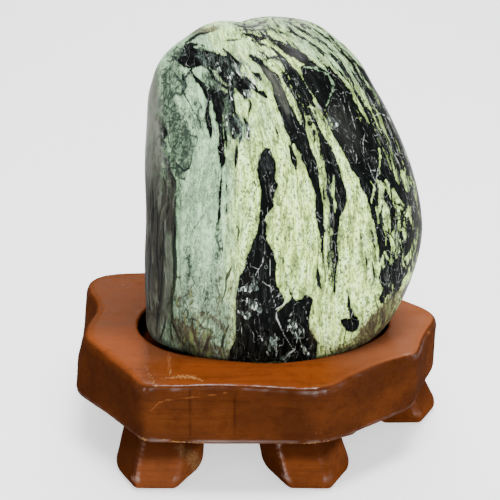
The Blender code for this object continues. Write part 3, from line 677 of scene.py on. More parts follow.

# broken places with white crystals; their white is partly painted glints
CRYSTALS = strokes(
    ((219, 68, 1.2), (219.5, 71, 1.2)),
    ((229, 76, 1.0), (230, 80, 1.2), (233, 73, 0.8)),
    ((238, 68, 1.4), (240, 72, 2.4), (243, 76, 2.4), (247, 73, 1.6)),
    ((240, 60, 1.6), (244, 64, 2.4), (249, 68, 2.2)),
    ((244, 92, 1.4), (247, 93, 1.8), (250, 96, 1.2)),
    ((250, 80, 1.4), (253, 86, 2.4), (251, 92, 1.4)),
    ((226.5, 114, 0.6), (227, 122, 1.0), (227.5, 129, 0.8)),
    ((233, 130, 0.9), (235, 134, 1.3), (236, 137, 0.9)),
    ((214, 126, 0.8), (215, 130, 1.4), (216, 134, 0.8)),
    ((230, 84, 0.7), (231, 92, 1.3), (232.5, 100, 0.8)),
    ((239, 122, 0.6), (240.5, 129, 1.2), (240, 136, 0.7)),
    ((247, 126, 0.6), (248.5, 132, 1.0), (248, 138, 0.6)),
    ((252, 76, 1.0), (257, 80, 2.0), (260, 86, 1.8)),
    ((330, 118, 1.4), (332, 121, 2.4), (334, 126, 2.2), (337, 124, 1.2)),
    ((248, 287, 0.9), (252, 288.5, 1.5), (257, 288.5, 0.9)),
    ((237, 290, 0.7), (241, 289, 1.1), (245, 288, 0.8)),
    ((251, 304, 1.0), (252, 308, 1.7), (256, 307, 1.8), (260, 310, 1.5)),
    ((239, 312, 0.8), (246, 316, 2.2), (249, 314, 1.6)),
    ((253, 278, 1.2), (255, 282, 1.8), (253, 285, 1.0)),
    ((264, 338, 1.6), (266, 344, 2.6), (270, 348, 2.6)),
    ((248, 300, 1.6), (254, 304, 2.6), (260, 310, 2.2)),
    ((290, 321, 1.0), (296, 325, 2.0), (302, 331, 2.0), (303, 337, 1.0)),
    ((289, 328, 0.8), (294, 332, 1.4), (298, 337, 1.0)),
    ((243, 290, 1.0), (250, 290, 2.0), (256, 286, 1.2)),
    ((270, 338, 1.0), (273, 343, 1.6), (277, 349, 1.8)),
    ((275, 336, 0.9), (277, 339, 1.3)),
    ((291, 325, 1.0), (294, 330, 1.6), (298, 327, 1.8), (301, 332, 1.2)),
    ((303, 346, 1.2), (306, 352, 1.8), (309, 357, 1.4)),
    ((283, 360, 2.0), (287, 357, 2.4), (290, 353, 1.6)),
)

# brown earth stains; a half width under zero makes a faint one
STAINS = strokes(
    ((186, 32, 0.6), (196, 31, 1.2), (206, 30, 1.2), (216, 28, 0.6)),
    ((226, 42, -2.4), (232, 46, -1.4), (236, 51, -2.4)),
    ((264, 100, -1.2), (265, 104, -1.6)),
    ((366, 334, 6.0), (380, 323, 9.0), (391, 310, 9.0), (400, 294, 6.0)),
    ((178, 328, 3.0), (190, 334, 5.0), (202, 338, 5.0)),
    ((360, 338, 4.0), (376, 328, 6.0), (390, 312, 6.0), (398, 300, 4.0)),
    ((178, 340, 4.0), (195, 347, 6.0), (214, 352, 6.0), (228, 356, 5.0)),
    ((180, 334, 6.0), (192, 344, 9.0), (210, 352, 9.0), (228, 356, 6.0)),
    ((176, 322, 4.0), (184, 332, 6.0)),
    ((330, 360, 4.0), (350, 354, 6.0), (372, 344, 8.0)),
    ((338, 354, 4.0), (352, 348, 6.0), (368, 339, 8.0), (384, 326, 7.0), (396, 312, 5.0)),
    ((213, 318, 2.0), (220, 326, 4.0), (226, 330, 2.0)),
    ((310, 334, 3.0), (314, 342, 3.0)),
)

# places where the surface is broken into facets
CHIPS = strokes(
    ((236, 278, 3), (246, 284, 5), (258, 288, 5), (268, 288, 3)),
    ((240, 300, 4), (250, 306, 7), (258, 310, 5), (246, 316, 5)),
    ((262, 336, 4), (270, 344, 7), (278, 350, 6), (276, 357, 4)),
    ((290, 322, 4), (298, 328, 6), (304, 334, 5), (306, 350, 7), (310, 356, 5)),
    ((186, 54, 6), (198, 58, 8), (212, 62, 7), (222, 72, 7), (234, 76, 6), (242, 88, 6)),
    ((242, 66, 5), (250, 72, 5), (256, 84, 7), (266, 92, 6), (254, 98, 5)),
    ((222, 106, 3), (226, 122, 5), (232, 134, 6), (228, 148, 3)),
    ((328, 116, 3), (333, 122, 5), (337, 126, 3)),
    ((196, 318, 4), (204, 324, 6), (210, 328, 4)),
    ((384, 196, 3), (394, 208, 5), (400, 218, 5), (392, 240, 4)),
)

# green black murk in the pale rock
MURK = strokes(
    ((200, 52, 4), (208, 58, 6), (216, 60, 5)),
    ((228, 60, 2), (238, 68, 2)),
    ((206, 78, 5), (212, 84, 5), (216, 88, 3)),
    ((227, 100, 3), (227, 116, 3), (228, 132, 2)),
    ((230, 72, 3), (231, 84, 3), (232, 98, 2)),
    ((195, 100, 2), (199, 112, 4), (200, 124, 4)),
    ((236, 118, 2), (243, 128, 4), (241, 140, 2)),
    ((166, 100, 6), (172, 118, 9), (178, 134, 11), (184, 152, 10), (178, 168, 7)),
    ((178, 52, 6), (174, 64, 5), (180, 78, 5), (182, 92, 4)),
    ((164, 170, 5), (168, 190, 6), (171, 212, 5), (172, 232, 4)),
    ((174, 58, 6), (171, 74, 7), (168, 92, 7), (164, 108, 5)),
    ((186, 250, 3), (190, 280, 4), (188, 304, 4)),
    ((178, 300, 4), (184, 316, 6), (196, 328, 6), (210, 336, 4)),
    ((160, 120, 5), (162, 150, 5), (165, 180, 6), (168, 200, 4)),
    ((212, 282, 2), (208, 296, 4), (204, 312, 3)),
)

# places where black and pale rock run together in fine streaks
STREAKS = strokes(
    ((236, 20), (262, 16), (300, 15), (332, 26), (362, 50), (386, 80), (406, 114), (420, 150), (428, 190),
     (426, 262), (418, 290), (412, 262), (414, 230), (410, 200), (404, 186), (390, 176), (380, 140),
     (372, 112), (356, 86), (334, 66), (308, 54), (280, 46), (256, 40)),
    ((262, 52, 3), (282, 66, 5), (292, 84, 5), (300, 100, 4), (304, 122, 4), (318, 112, 4), (326, 124, 4)),
    ((312, 134, 2), (322, 160, 2), (330, 200, 3), (332, 240, 5), (332, 280, 4)),
    ((380, 190, 0.5), (388, 206, 2.0), (395, 222, 3.0), (398, 240, 2.5), (392, 262, 2.0), (388, 284, 1.0)),
    ((402, 250, 1.0), (402, 268, 2.0), (396, 288, 1.0)),
    ((347, 296, -2.0), (350, 312, -1.0), (352, 324, -1.0)),
)


# ------------------------------------------------------------
# Shader building


class Field:
    """A shader socket with arithmetic: an expression on fields adds the Math nodes it needs."""

    def __init__(self, graph: "Graph", socket: bpy.types.NodeSocket) -> None:
        """Wraps one output socket of a graph."""
        self.graph, self.socket = graph, socket

    def _maths(self, operation: str, *values: "Field | float") -> "Field":
        """Adds one Math node on the values."""
        return self.graph.node("ShaderNodeMath", {"operation": operation}, dict(enumerate(values)))

    def __add__(self, other: "Field | float") -> "Field":
        """Adds."""
        return self._maths("ADD", self, other)

    __radd__ = __add__

    def __sub__(self, other: "Field | float") -> "Field":
        """Subtracts."""
        return self._maths("SUBTRACT", self, other)

    def __rsub__(self, other: float) -> "Field":
        """Subtracts from a number."""
        return self._maths("SUBTRACT", other, self)

    def __mul__(self, other: "Field | float") -> "Field":
        """Multiplies."""
        return self._maths("MULTIPLY", self, other)

    __rmul__ = __mul__

    def __abs__(self) -> "Field":
        """Drops the sign."""
        return self._maths("ABSOLUTE", self)

    def least(self, other: "Field | float") -> "Field":
        """Takes the smaller."""
        return self._maths("MINIMUM", self, other)

    def most(self, other: "Field | float") -> "Field":
        """Takes the larger."""
        return self._maths("MAXIMUM", self, other)

    def step(self, low: float, high: float, to_low: float = 0.0, to_high: float = 1.0) -> "Field":
        """Goes smoothly from one value to another as this one goes from low to high.

        Args:
            low: Where the change starts.
            high: Where it ends; it may be under low.
            to_low: The value before the change.
            to_high: The value after it.

        Returns:
            The eased value.
        """
        if low > high:
            low, high, to_low, to_high = high, low, to_high, to_low
        ends = {"From Min": low, "From Max": high, "To Min": to_low, "To Max": to_high}
        smooth = {"interpolation_type": "SMOOTHSTEP"}
        return self.graph.node("ShaderNodeMapRange", smooth, {"Value": self, **ends})


class Graph:
    """The node tree of one material, with short ways to add to it."""

    def __init__(self, name: str) -> None:
        """Makes a new material whose tree holds its surface shader alone."""
        self.material = bpy.data.materials.new(name)
        self.material.use_nodes = True
        self.tree = self.material.node_tree
        self.surface = next(n for n in self.tree.nodes if n.type == "BSDF_PRINCIPLED")

    def node(self, kind: str, settings: dict[str, Any] | None = None,
             inputs: dict[str | int, Any] | None = None, output: str | int = 0) -> Field:
        """Adds a node.

        Args:
            kind: The node's type.
            settings: Its settings, such as a Math node's operation, set first.
            inputs: A value or a field for each named or numbered input socket.
            output: The output socket that is wanted.

        Returns:
            That output as a field.
        """
        made = self.tree.nodes.new(kind)
        for name, value in (settings or {}).items():
            setattr(made, name, value)
        for name, value in (inputs or {}).items():
            self._feed(made.inputs[name], value)
        return Field(self, made.outputs[output])

    def _feed(self, socket: bpy.types.NodeSocket, value: Any) -> None:
        """Links a field to an input socket, or sets the socket to a value."""
        if isinstance(value, Field):
            self.tree.links.new(value.socket, socket)
        else:
            socket.default_value = value

    def blend(self, share: Field, low: Field | Colour, high: Field | Colour, way: str = "MIX") -> Field:
        """Mixes two colours by a share."""
        return self.node("ShaderNodeMix", {"data_type": "RGBA", "blend_type": way},
                         {0: share, 6: low, 7: high}, output=2)

    def stretched(self, vector: Field, scale: Place, shift: Place = (0, 0, 0)) -> Field:
        """Stretches a place along its three directions, then shifts it."""
        ways = {"operation": "MULTIPLY_ADD"}
        return self.node("ShaderNodeVectorMath", ways, {0: vector, 1: scale, 2: shift})

    def coated(self, base: Field | Colour, *coats: tuple[Field, Field | Colour]) -> Field:
        """Lays colours over a base one after the other, each by its share."""
        for share, colour in coats:
            base = self.blend(share, base, colour)
        return base

    def noise(self, place: Field, scale: Place, detail: float, rough: float, shift: Place = (0, 0, 0),
              twist: float = 0.0) -> Field:
        """Adds a noise.

        Args:
            place: Where each point is.
            scale: How tight the noise is along the three directions.
            detail: How many finer scales it adds.
            rough: How strong they are.
            shift: Where it starts, so that no two noises agree.
            twist: How far it is twisted.

        Returns:
            The noise, from 0 to 1.
        """
        look = {"Scale": 1.0, "Detail": detail, "Roughness": rough, "Distortion": twist}
        return self.node("ShaderNodeTexNoise", {"noise_dimensions": "3D"},
                         {"Vector": self.stretched(place, scale, shift), **look})

    def cells(self, place: Field, scale: Place, shift: Place = (0, 0, 0), feature: str = "F1",
              output: str = "Distance") -> Field:
        """Adds a cell pattern, stretched as a noise is."""
        inputs = {"Vector": self.stretched(place, scale, shift), "Scale": 1.0}
        return self.node("ShaderNodeTexVoronoi", {"feature": feature}, inputs, output)

    def layer(self, name: str) -> Field:
        """Reads a number kept on the mesh."""
        return self.node("ShaderNodeAttribute", {"attribute_name": name}, output="Fac")

    def place_layer(self, name: str) -> Field:
        """Reads three numbers kept on the mesh."""
        return self.node("ShaderNodeAttribute", {"attribute_name": name}, output="Vector")

    def bump(self, height: Field, depth: float, strength: float = 1.0, under: Field | None = None) -> Field:
        """Turns a height into a normal, over another bump if there is one."""
        inputs = {"Height": height, "Distance": depth, "Strength": strength}
        return self.node("ShaderNodeBump", {}, inputs if under is None else {**inputs, "Normal": under})

    def finish(self, **sockets: Any) -> bpy.types.Material:
        """Sets the surface's sockets.

        Args:
            **sockets: A value or a field for each socket, named with _ for a space.

        Returns:
            The material.
        """
        for name, value in sockets.items():
            self._feed(self.surface.inputs[name.replace("_", " ")], value)
        return self.material


# ------------------------------------------------------------
# Finishes


class StoneNoise:
    """The noises that the rock's finish is mixed from, each stretched along the banding."""

    def __init__(self, g: Graph) -> None:
        """Adds the noises to a graph."""
        self.graph, self.grain = g, g.place_layer("grain")
        self.fine = g.noise(self.grain, (1.5, 0.5, 1.2), 3, 0.6)
        self.streak = g.noise(self.grain, (0.36, 0.050, 0.35), 5, 0.70, (7, 3, 1))
        self.comb = g.noise(self.grain, (0.85, 0.060, 0.6), 4, 0.62, (6, 6, 2))
        self.broad = g.noise(self.grain, (0.13, 0.045, 0.1), 3, 0.5, (2, 9, 4))
        self.mottle = g.noise(self.grain, (0.36, 0.22, 0.4), 4, 0.65, (5, 1, 8))
        self.speck = g.noise(self.grain, (0.80, 0.40, 0.8), 4, 0.72, (1, 6, 2))
        self.clump = g.noise(self.grain, (0.16, 0.10, 0.15), 5, 0.68, (9, 2, 5))
        self.rugged = self.clump * 0.35 + self.streak * 0.25 + self.speck * 0.40

    def thread(self, scale: Place, detail: float, rough: float, shift: Place, twist: float) -> Field:
        """Adds threads, set as a noise is, and returns how far each place is from one's middle."""
        return abs(self.graph.noise(self.grain, scale, detail, rough, shift, twist) - 0.5)


@dataclass(frozen=True)
class RiverStone:
    """Polished black and pale green banded river stone."""

    cream: Colour = (0.64, 0.90, 0.225, 1)
    mint: Colour = (0.250, 0.420, 0.240, 1)
    fern: Colour = (0.150, 0.245, 0.150, 1)
    chalk: Colour = (0.74, 1.00, 0.46, 1)
    pearl: Colour = (0.37, 0.57, 0.34, 1)
    moss: Colour = (0.170, 0.225, 0.070, 1)
    sage: Colour = (0.052, 0.074, 0.038, 1)
    jade: Colour = (0.042, 0.060, 0.050, 1)
    mist: Colour = (0.125, 0.165, 0.135, 1)
    slate: Colour = (0.018, 0.027, 0.020, 1)
    black: Colour = (0.0016, 0.0019, 0.0018, 1)
    # also paints shade in the fold's crease
    charcoal: Colour = (0.0065, 0.0078, 0.0078, 1)
    damp: Colour = (0.56, 0.54, 0.57, 1)
    grit: Colour = (0.062, 0.066, 0.055, 1)
    # also paints sheen and reflections
    ash: Colour = (0.110, 0.117, 0.096, 1)
    # also paints shade on the left column and the right edge
    dusk: Colour = (0.020, 0.019, 0.015, 1)
    # with the next, also paints shade at the low left and toward the foot
    earth: Colour = (0.050, 0.037, 0.021, 1)
    tan: Colour = (0.74, 0.59, 0.74, 1)
    # also paints glints on the broken facets
    white: Colour = (0.80, 0.86, 0.80, 1)
    polish: float = 0.30
    shine: float = 0.02
    coat_rough: float = 0.26
    grain_depth: float = 0.30 * MM
    facet_depth: float = 0.4 * MM

    def material(self) -> bpy.types.Material:
        """Builds the stone's material."""
        g = Graph("banded_river_stone")
        noise = StoneNoise(g)
        crystal, dusk, stain = g.layer("crystal"), g.layer("dusk"), g.layer("stain")
        ragged = (noise.fine - 0.5) * 0.9 + (noise.mottle - 0.5) * 1.1 + (noise.comb - 0.5) * 1.8
        edge = g.layer("dark") + ragged
        is_black = edge.step(-0.08, 0.18)
        rim = edge.step(-1.0, 0.0) * (1 - is_black)
        # cracks, and painted shade down the fold's crease
        crack = (g.layer("crack") + (noise.fine - 0.5) * 0.30).step(-0.20, 0.16)
        patchy = (noise.mottle * 0.5 + noise.streak * 0.5).step(0.36, 0.52, 0.70, 1.0)
        # the darkened left column and right edge: partly dark skin, partly painted shade
        dusky = g.coated(self.dusk, (noise.streak.step(0.48, 0.66) * 0.5, self.ash),
                         (noise.comb.step(0.46, 0.38) * 0.8, self.black))
        rock = g.coated(
            self._pale_rock(noise, rim),
            (is_black, self._black_rock(noise)),
            (self._white_threads(noise, is_black), self.white),
            # painted sheen and reflections, in grey
            (g.layer("ash") * patchy, g.blend(noise.streak.step(0.54, 0.40), self.ash, self.grit)),
            (dusk, dusky),
            (crack * 0.92, self.charcoal))

        # the facets of the broken places: relief, tones, and white painted glints
        glints = g.cells(noise.grain, (1.0, 0.40, 0.6), output="Color")
        tint = g.node("ShaderNodeSeparateColor", {}, {0: glints})
        shard = (crystal + (noise.speck - 0.5) * 1.4).step(0.35, 0.60)
        facet = tint * 0.8 + (noise.comb - 0.5) * 1.4 + (noise.speck - 0.5) * 0.9
        # staining, with painted shade at the low left and toward the foot
        stained = (stain + (noise.rugged - 0.5) * 6.0).step(0.25, 1.15) * stain.step(0.0, 0.3)
        stained = stained * 0.92 * (1 - is_black * 0.9) * (1 - dusk * 0.8)
        rock = g.coated(
            rock,
            (shard * facet.step(0.30, 0.38) * 0.85, self.jade),
            (shard * facet.step(0.46, 0.56) * 0.85, self.mist),
            (shard * facet.step(0.72, 0.82) * 0.95, self.white),
            (stained, self.earth),
            (stain.least(1.0) * noise.comb.step(0.48, 0.40) * 0.75, self.dusk),
            (stained * noise.streak.step(0.52, 0.62) * 0.6, self.moss))

        rough = self.polish + (noise.mottle - 0.5) * 0.12 + (noise.speck - 0.5) * 0.06
        height = (noise.fine - 0.5) * 0.14 + (noise.speck - 0.5) * 0.14 + (noise.streak - 0.5) * 0.25
        grains = g.bump(height - crack * 0.9, self.grain_depth, 0.7)
        return g.finish(Base_Color=rock, Roughness=rough + (stained + dusk) * 0.3,
                        Normal=g.bump(tint * crystal, self.facet_depth, 0.8, grains),
                        Specular_IOR_Level=self.shine, Coat_Roughness=self.coat_rough,
                        Coat_Weight=(g.layer("sheen") * 0.04).most(crystal * 0.30))

    def _pale_rock(self, noise: StoneNoise, rim: Field) -> Field:
        """Mixes the pale rock: cream to mint, with light streaks, dark wrinkles, smudges and murk, then the
        stains and painted shade.

        Args:
            noise: The rock's noises.
            rim: How near the black rock is, from 0 to 1.

        Returns:
            The colour.
        """
        g = noise.graph
        busy, murk, smudge = g.layer("busy"), g.layer("murk"), g.layer("smudge")
        mint = (g.layer("mint").most(murk * 0.9) + (noise.broad - 0.5) * 0.9).step(0.1, 0.9)
        light = g.blend(mint, self.chalk, self.pearl)
        shaded = g.blend(mint, self.moss, self.fern)
        wrinkle = noise.thread((0.50, 0.15, 0.5), 3, 0.65, (4, 4, 1), 1.0)
        strand = noise.thread((0.38, 0.040, 0.3), 3, 0.60, (3, 8, 1), 0.4)
        rock = g.coated(
            g.blend(mint, self.cream, self.mint),
            (noise.streak.step(0.50, 0.57) * 0.85, light),
            (noise.streak.step(0.49, 0.41) * 0.80, shaded),
            (noise.mottle.step(0.48, 0.40) * 0.58, shaded),
            (noise.mottle.step(0.56, 0.64) * 0.50, light),
            (wrinkle.step(0.036, 0.008) * noise.broad.step(0.38, 0.52) * 0.88, self.sage),
            (noise.speck.step(0.535, 0.585) * 0.88 * (1 - mint * 0.45), self.sage),
            (busy * noise.comb.step(0.49, 0.55) * 0.85, self.slate),
            (busy * noise.streak.step(0.50, 0.58) * 0.55, self.sage),
            (busy.step(0.1, 0.5) * strand.step(0.022, 0.006) * 0.85, self.slate),
            (rim * 0.50, self.sage))

        gaps = g.cells(noise.grain, (0.24, 0.15, 0.2), (3, 1, 7), "DISTANCE_TO_EDGE")
        depth = (noise.rugged - 0.5) * 4.2 + smudge * 0.38 + murk * 0.48
        marked = smudge.most(murk).step(0.0, 0.35)
        net = (gaps + (noise.mottle - 0.5) * 0.35).step(0.09, 0.02) * depth.step(0.0, 0.40)
        for low, high in ((0.10, 0.60), (0.50, 0.85)):
            rock = g.blend(depth.step(low, high) * marked, rock, self.damp, "MULTIPLY")
        rock = g.blend(net.most(depth.step(0.82, 1.05)) * marked * 0.9, rock, self.slate)
        # stains and painted shade, multiplied in
        return g.blend(g.layer("stain") * 0.85, rock, self.tan, "MULTIPLY")

    def _black_rock(self, noise: StoneNoise) -> Field:
        """Mixes the black rock: black to charcoal, with ashen combing and green black murk.

        Args:
            noise: The rock's noises.

        Returns:
            The colour.
        """
        g, murk = noise.graph, noise.graph.layer("murk")
        smudged = g.layer("smudge") * noise.rugged.step(0.54, 0.60) * 0.6
        return g.coated(
            self.black,
            (noise.streak.step(0.50, 0.66), self.charcoal),
            (noise.mottle.step(0.64, 0.76) * 0.20, self.slate),
            (g.layer("busy") * noise.comb.step(0.42, 0.36) * 0.50, self.ash),
            ((murk * noise.rugged.step(0.47, 0.56) * 0.9).most(smudged), self.jade),
            (murk * noise.rugged.step(0.55, 0.60) * 0.8, self.mist))

    def _white_threads(self, noise: StoneNoise, is_black: Field) -> Field:
        """Mixes the white: fine threads and hairs in the black rock, and the drawn veins.

        Args:
            noise: The rock's noises.
            is_black: Where the rock is black, from 0 to 1.

        Returns:
            The share of white.
        """
        thread = noise.thread((0.15, 0.070, 0.12), 2, 0.5, (3, 3, 3), 1.0)
        threads = thread.step(0.009, 0.002) * noise.mottle.step(0.44, 0.58) * 0.26
        hair = noise.thread((0.42, 0.045, 0.3), 3, 0.55, (8, 2, 6), 0.4)
        hairs = hair.step(0.014, 0.003) * (noise.clump + noise.streak).step(0.94, 1.06)
        hairs = hairs * (noise.graph.layer("busy") * 0.24 + 0.03)
        veins = (noise.graph.layer("vein") + (noise.fine - 0.5) * 0.25).step(-0.12, 0.14)
        veins = veins * (noise.mottle + noise.streak).step(0.76, 1.00) * 0.40
        return (threads.most(hairs) * is_black).most(veins)


@dataclass(frozen=True)
class Lacquer:
    """Brownish red lacquer over carved wood, worn along its crests with a painted highlight there, dusty on
    top with a painted sheen, and with painted shade and shadow.
    """

    # also paints the shade
    deep: Colour = (0.015, 0.0034, 0.0010, 1)
    body: Colour = (0.038, 0.0102, 0.0030, 1)
    warm: Colour = (0.066, 0.0178, 0.0042, 1)
    # also paints a highlight along the crests
    worn: Colour = (0.24, 0.080, 0.022, 1)
    raw: Colour = (0.27, 0.140, 0.050, 1)
    # also paints the soft sheen on the slab's top
    dust: Colour = (0.074, 0.0265, 0.0115, 1)
    polished: Colour = (0.148, 0.0298, 0.0031, 1)
    mote: Colour = (0.24, 0.12, 0.06, 1)
    sunlit: Colour = (0.200, 0.064, 0.026, 1)
    # near black, the painted shadow down the recess walls
    pitch: Colour = (0.0030, 0.0012, 0.0008, 1)
    gloss: float = 0.34
    dusty: float = 1.0
    shine: float = 0.0
    coat_rough: float = 0.12
    coat_ior: float = 1.9
    relief: float = 0.5 * MM

    def material(self, name: str) -> bpy.types.Material:
        """Builds the lacquer's material.

        Args:
            name: The material's name.

        Returns:
            The material.
        """
        g = Graph(name)
        place = g.place_layer("place")
        wear, upper, joint = g.layer("wear"), g.layer("upper"), g.layer("joint")
        bare, scuff, shade, level = g.layer("bare"), g.layer("scuff"), g.layer("shade"), g.layer("level")
        grain = g.noise(place, (0.022, 0.35, 0.55), 5, 0.6, twist=0.3)
        pores = g.noise(place, (0.10, 1.9, 2.4), 3, 0.6, (4, 2, 8))
        cloud = g.noise(place, (0.035, 0.04, 0.05), 4, 0.55, (1, 5, 2))
        blotch = g.noise(place, (0.17, 0.19, 0.2), 4, 0.6, (8, 1, 3))
        dot = g.noise(place, (1.2, 1.2, 1.2), 2, 0.5, (2, 2, 9))
        motes = g.noise(place, (1.5, 1.5, 1.5), 2, 0.5, (6, 2, 4))
        # dusty tops, which on the slab also stand in for a painted sheen
        dust = upper * (blotch * 0.5 + cloud * 0.5).step(0.30, 0.60, 0.45, 1.0) * self.dusty
        # partly worn lacquer along the crests, partly a painted highlight there
        rubbed = (wear + (blotch - 0.5) * 0.8 + (dot - 0.5) * 0.5).step(0.55, 1.1)
        flaked = (bare + (pores - 0.5) * 1.6 + (dot - 0.5) * 3.0 + (blotch - 0.5) * 1.2).step(0.45, 0.95)
        flaked = flaked * bare.step(0.02, 0.30)
        wood = g.coated(
            self.body,
            (cloud.step(0.34, 0.74), self.warm),
            (level * cloud.step(0.30, 0.55, 0.7, 1.0), self.polished),
            (blotch.step(0.48, 0.34) * 0.22, self.deep),
            (grain.step(0.52, 0.34) * 0.22, self.deep),
            (pores.step(0.42, 0.26) * 0.30, self.deep),
            (dust * 0.9, self.dust),
            (g.layer("sunny") * (0.4 + cloud), self.sunlit),
            ((dust + 0.25) * (motes + (blotch - 0.5) * 0.3).step(0.64, 0.78) * 0.5, self.mote),
            (rubbed * 0.30, self.worn),
            (flaked * 0.60, self.raw),
            (joint * 0.55, self.deep),
            # painted shade, then the near black painted shadow down the recess walls
            (shade * 0.96, self.deep),
            (g.layer("hollow") * 0.9, self.pitch),
            ((scuff + (dot - 0.5) * 0.7).step(0.3, 0.9) * 0.26, self.worn))

        rough = (self.gloss + (blotch - 0.5) * 0.14 + dust * 0.34 + flaked * 0.25).least(0.85)
        height = (grain - 0.5) * 0.25 + (pores - 0.5) * 0.12 + (blotch - 0.5) * 0.5
        height = height - flaked * 0.5 - joint * 0.8
        patchy = (cloud * 0.5 + blotch * 0.5).step(0.30, 0.48, 0.6, 1.0)
        crest = wear.most(level * 0.016) * patchy * (1 - flaked)
        return g.finish(Base_Color=wood, Roughness=rough, Normal=g.bump(height, self.relief, 0.5),
                        Specular_IOR_Level=self.shine, Coat_Weight=(crest + 0.007) * (1 - shade),
                        Coat_Roughness=self.coat_rough, Coat_IOR=self.coat_ior)


# ------------------------------------------------------------
# Surfaces


@dataclass
class Surface:
    """A piece's mesh as arrays, for moving its points and keeping numbers on them."""

    piece: bpy.types.Object

    def __post_init__(self) -> None:
        """Reads the mesh."""
        mesh = self.piece.data
        self.points = np.empty((len(mesh.vertices), 3))
        mesh.vertices.foreach_get("co", self.points.ravel())
        ends = np.empty(len(mesh.edges) * 2, np.int64)
        mesh.edges.foreach_get("vertices", ends)
        self.ends = ends.reshape(-1, 2)
        self.shares = np.bincount(self.ends.ravel(), minlength=len(self.points)).clip(1)
        self.normals = self.read_normals()

    def read_normals(self) -> np.ndarray:
        """Returns each point's outward direction."""
        normals = np.empty(len(self.piece.data.vertices) * 3)
        self.piece.data.vertices.foreach_get("normal", normals)
        return normals.reshape(-1, 3)

    def spread(self, values: np.ndarray, times: int) -> np.ndarray:
        """Averages values with their neighbours'.

        Args:
            values: A number, or three, for each point.
            times: How many times to do it.

        Returns:
            The averaged values.
        """
        for _ in range(times):
            total = np.zeros_like(values)
            np.add.at(total, self.ends[:, 0], values[self.ends[:, 1]])
            np.add.at(total, self.ends[:, 1], values[self.ends[:, 0]])
            shares = self.shares if values.ndim == 1 else self.shares[:, None]
            values = 0.5 * values + 0.5 * total / shares
        return values

    def ridges(self, times: int = 2) -> np.ndarray:
        """Returns how sharply the surface bulges at each point, in metres: positive on a crest."""
        lean = self.points - self.spread(self.points, 1)
        return self.spread((lean * self.normals).sum(axis=1), times)

    def move(self, amount: np.ndarray) -> None:
        """Moves each point along its outward direction by an amount in metres."""
        self.points = self.points + self.normals * amount[:, None]
        self.store()

    def store(self) -> None:
        """Writes the points back to the mesh and reads the directions again."""
        self.piece.data.vertices.foreach_set("co", self.points.ravel())
        self.piece.data.update()
        self.normals = self.read_normals()

    def keep(self, **layers: np.ndarray) -> None:
        """Keeps numbers on the mesh for the finishes to read.

        Args:
            **layers: Under each name that they are read by, a number, or three, for each point.
        """
        for name, values in layers.items():
            kind, slot = ("FLOAT", "value") if values.ndim == 1 else ("FLOAT_VECTOR", "vector")
            layer = self.piece.data.attributes.new(name, kind, "POINT")
            layer.data.foreach_set(slot, values.astype(np.float32).ravel())


def even_copy(node: bpy.types.Object, name: str, step: float, smoothing: int) -> bpy.types.Object:
    """Copies a CAD solid and covers it with small even faces.

    Args:
        node: The solid to copy.
        name: The new piece's name.
        step: The side of a face, in metres.
        smoothing: How many times the points are drawn towards their neighbours.

    Returns:
        The new piece, smooth shaded.
    """
    piece = bpy.data.objects.new(name, node.data.copy())
    piece.data.name = name
    piece.data.transform(node.matrix_world)
    piece.data.materials.clear()
    bpy.context.scene.collection.objects.link(piece)
    bm = bmesh.new()
    bm.from_mesh(piece.data)
    bmesh.ops.remove_doubles(bm, verts=bm.verts, dist=WELD)
    bm.to_mesh(piece.data)
    bm.free()
    even = piece.modifiers.new("even", "REMESH")
    even.mode, even.voxel_size = "VOXEL", step
    soft = piece.modifiers.new("soft", "SMOOTH")
    soft.factor, soft.iterations = 0.5, smoothing
    graph = bpy.context.evaluated_depsgraph_get()
    mesh = bpy.data.meshes.new_from_object(piece.evaluated_get(graph))
    piece.modifiers.clear()
    piece.data = mesh
    mesh.name = name
    mesh.shade_smooth()
    return piece


def split_facing(piece: bpy.types.Object, standpoint: Standpoint, least: float) -> None:
    """Splits the faces that turn to the standpoint into four.

    Args:
        piece: The piece whose faces are split.
        standpoint: Where it is seen from.
        least: How squarely a face must turn to it, from -1 to 1.
    """
    bm = bmesh.new()
    bm.from_mesh(piece.data)
    eye = standpoint.eye()
    chosen = []
    for face in bm.faces:
        sight = eye - np.array(face.calc_center_median())
        if np.dot(sight, np.array(face.normal)) / np.linalg.norm(sight) > least:
            chosen.append(face)
    edges = list({edge for face in chosen for edge in face.edges})
    bmesh.ops.subdivide_edges(bm, edges=edges, cuts=1, use_grid_fill=True)
    bm.to_mesh(piece.data)
    bm.free()
    piece.data.shade_smooth()


# ------------------------------------------------------------
# The rock


@dataclass(frozen=True)
class Layout:
    """Where each point of the rock lies on the board and along the banding, and how far it is in view."""

    board: np.ndarray
    course: np.ndarray
    run: np.ndarray
    view: np.ndarray

    @property
    def across(self) -> np.ndarray:
        """Returns each point's place across the board."""
        return self.board[:, 0]

    @property
    def down(self) -> np.ndarray:
        """Returns each point's place down the board."""
        return self.board[:, 1]

    def noise(self, scale: Place, seed: int, layers: int = 3, keep: float = 0.5) -> np.ndarray:
        """Returns layered noise on the places along the banding, stretched by a scale."""
        return layered_noise(self.run * scale, seed, layers, keep)

    def joined(self, seen: np.ndarray | float, unseen: np.ndarray | float) -> np.ndarray:
        """Returns some numbers where the rock is in view and others where it isn't."""
        return seen * self.view + unseen * (1 - self.view)


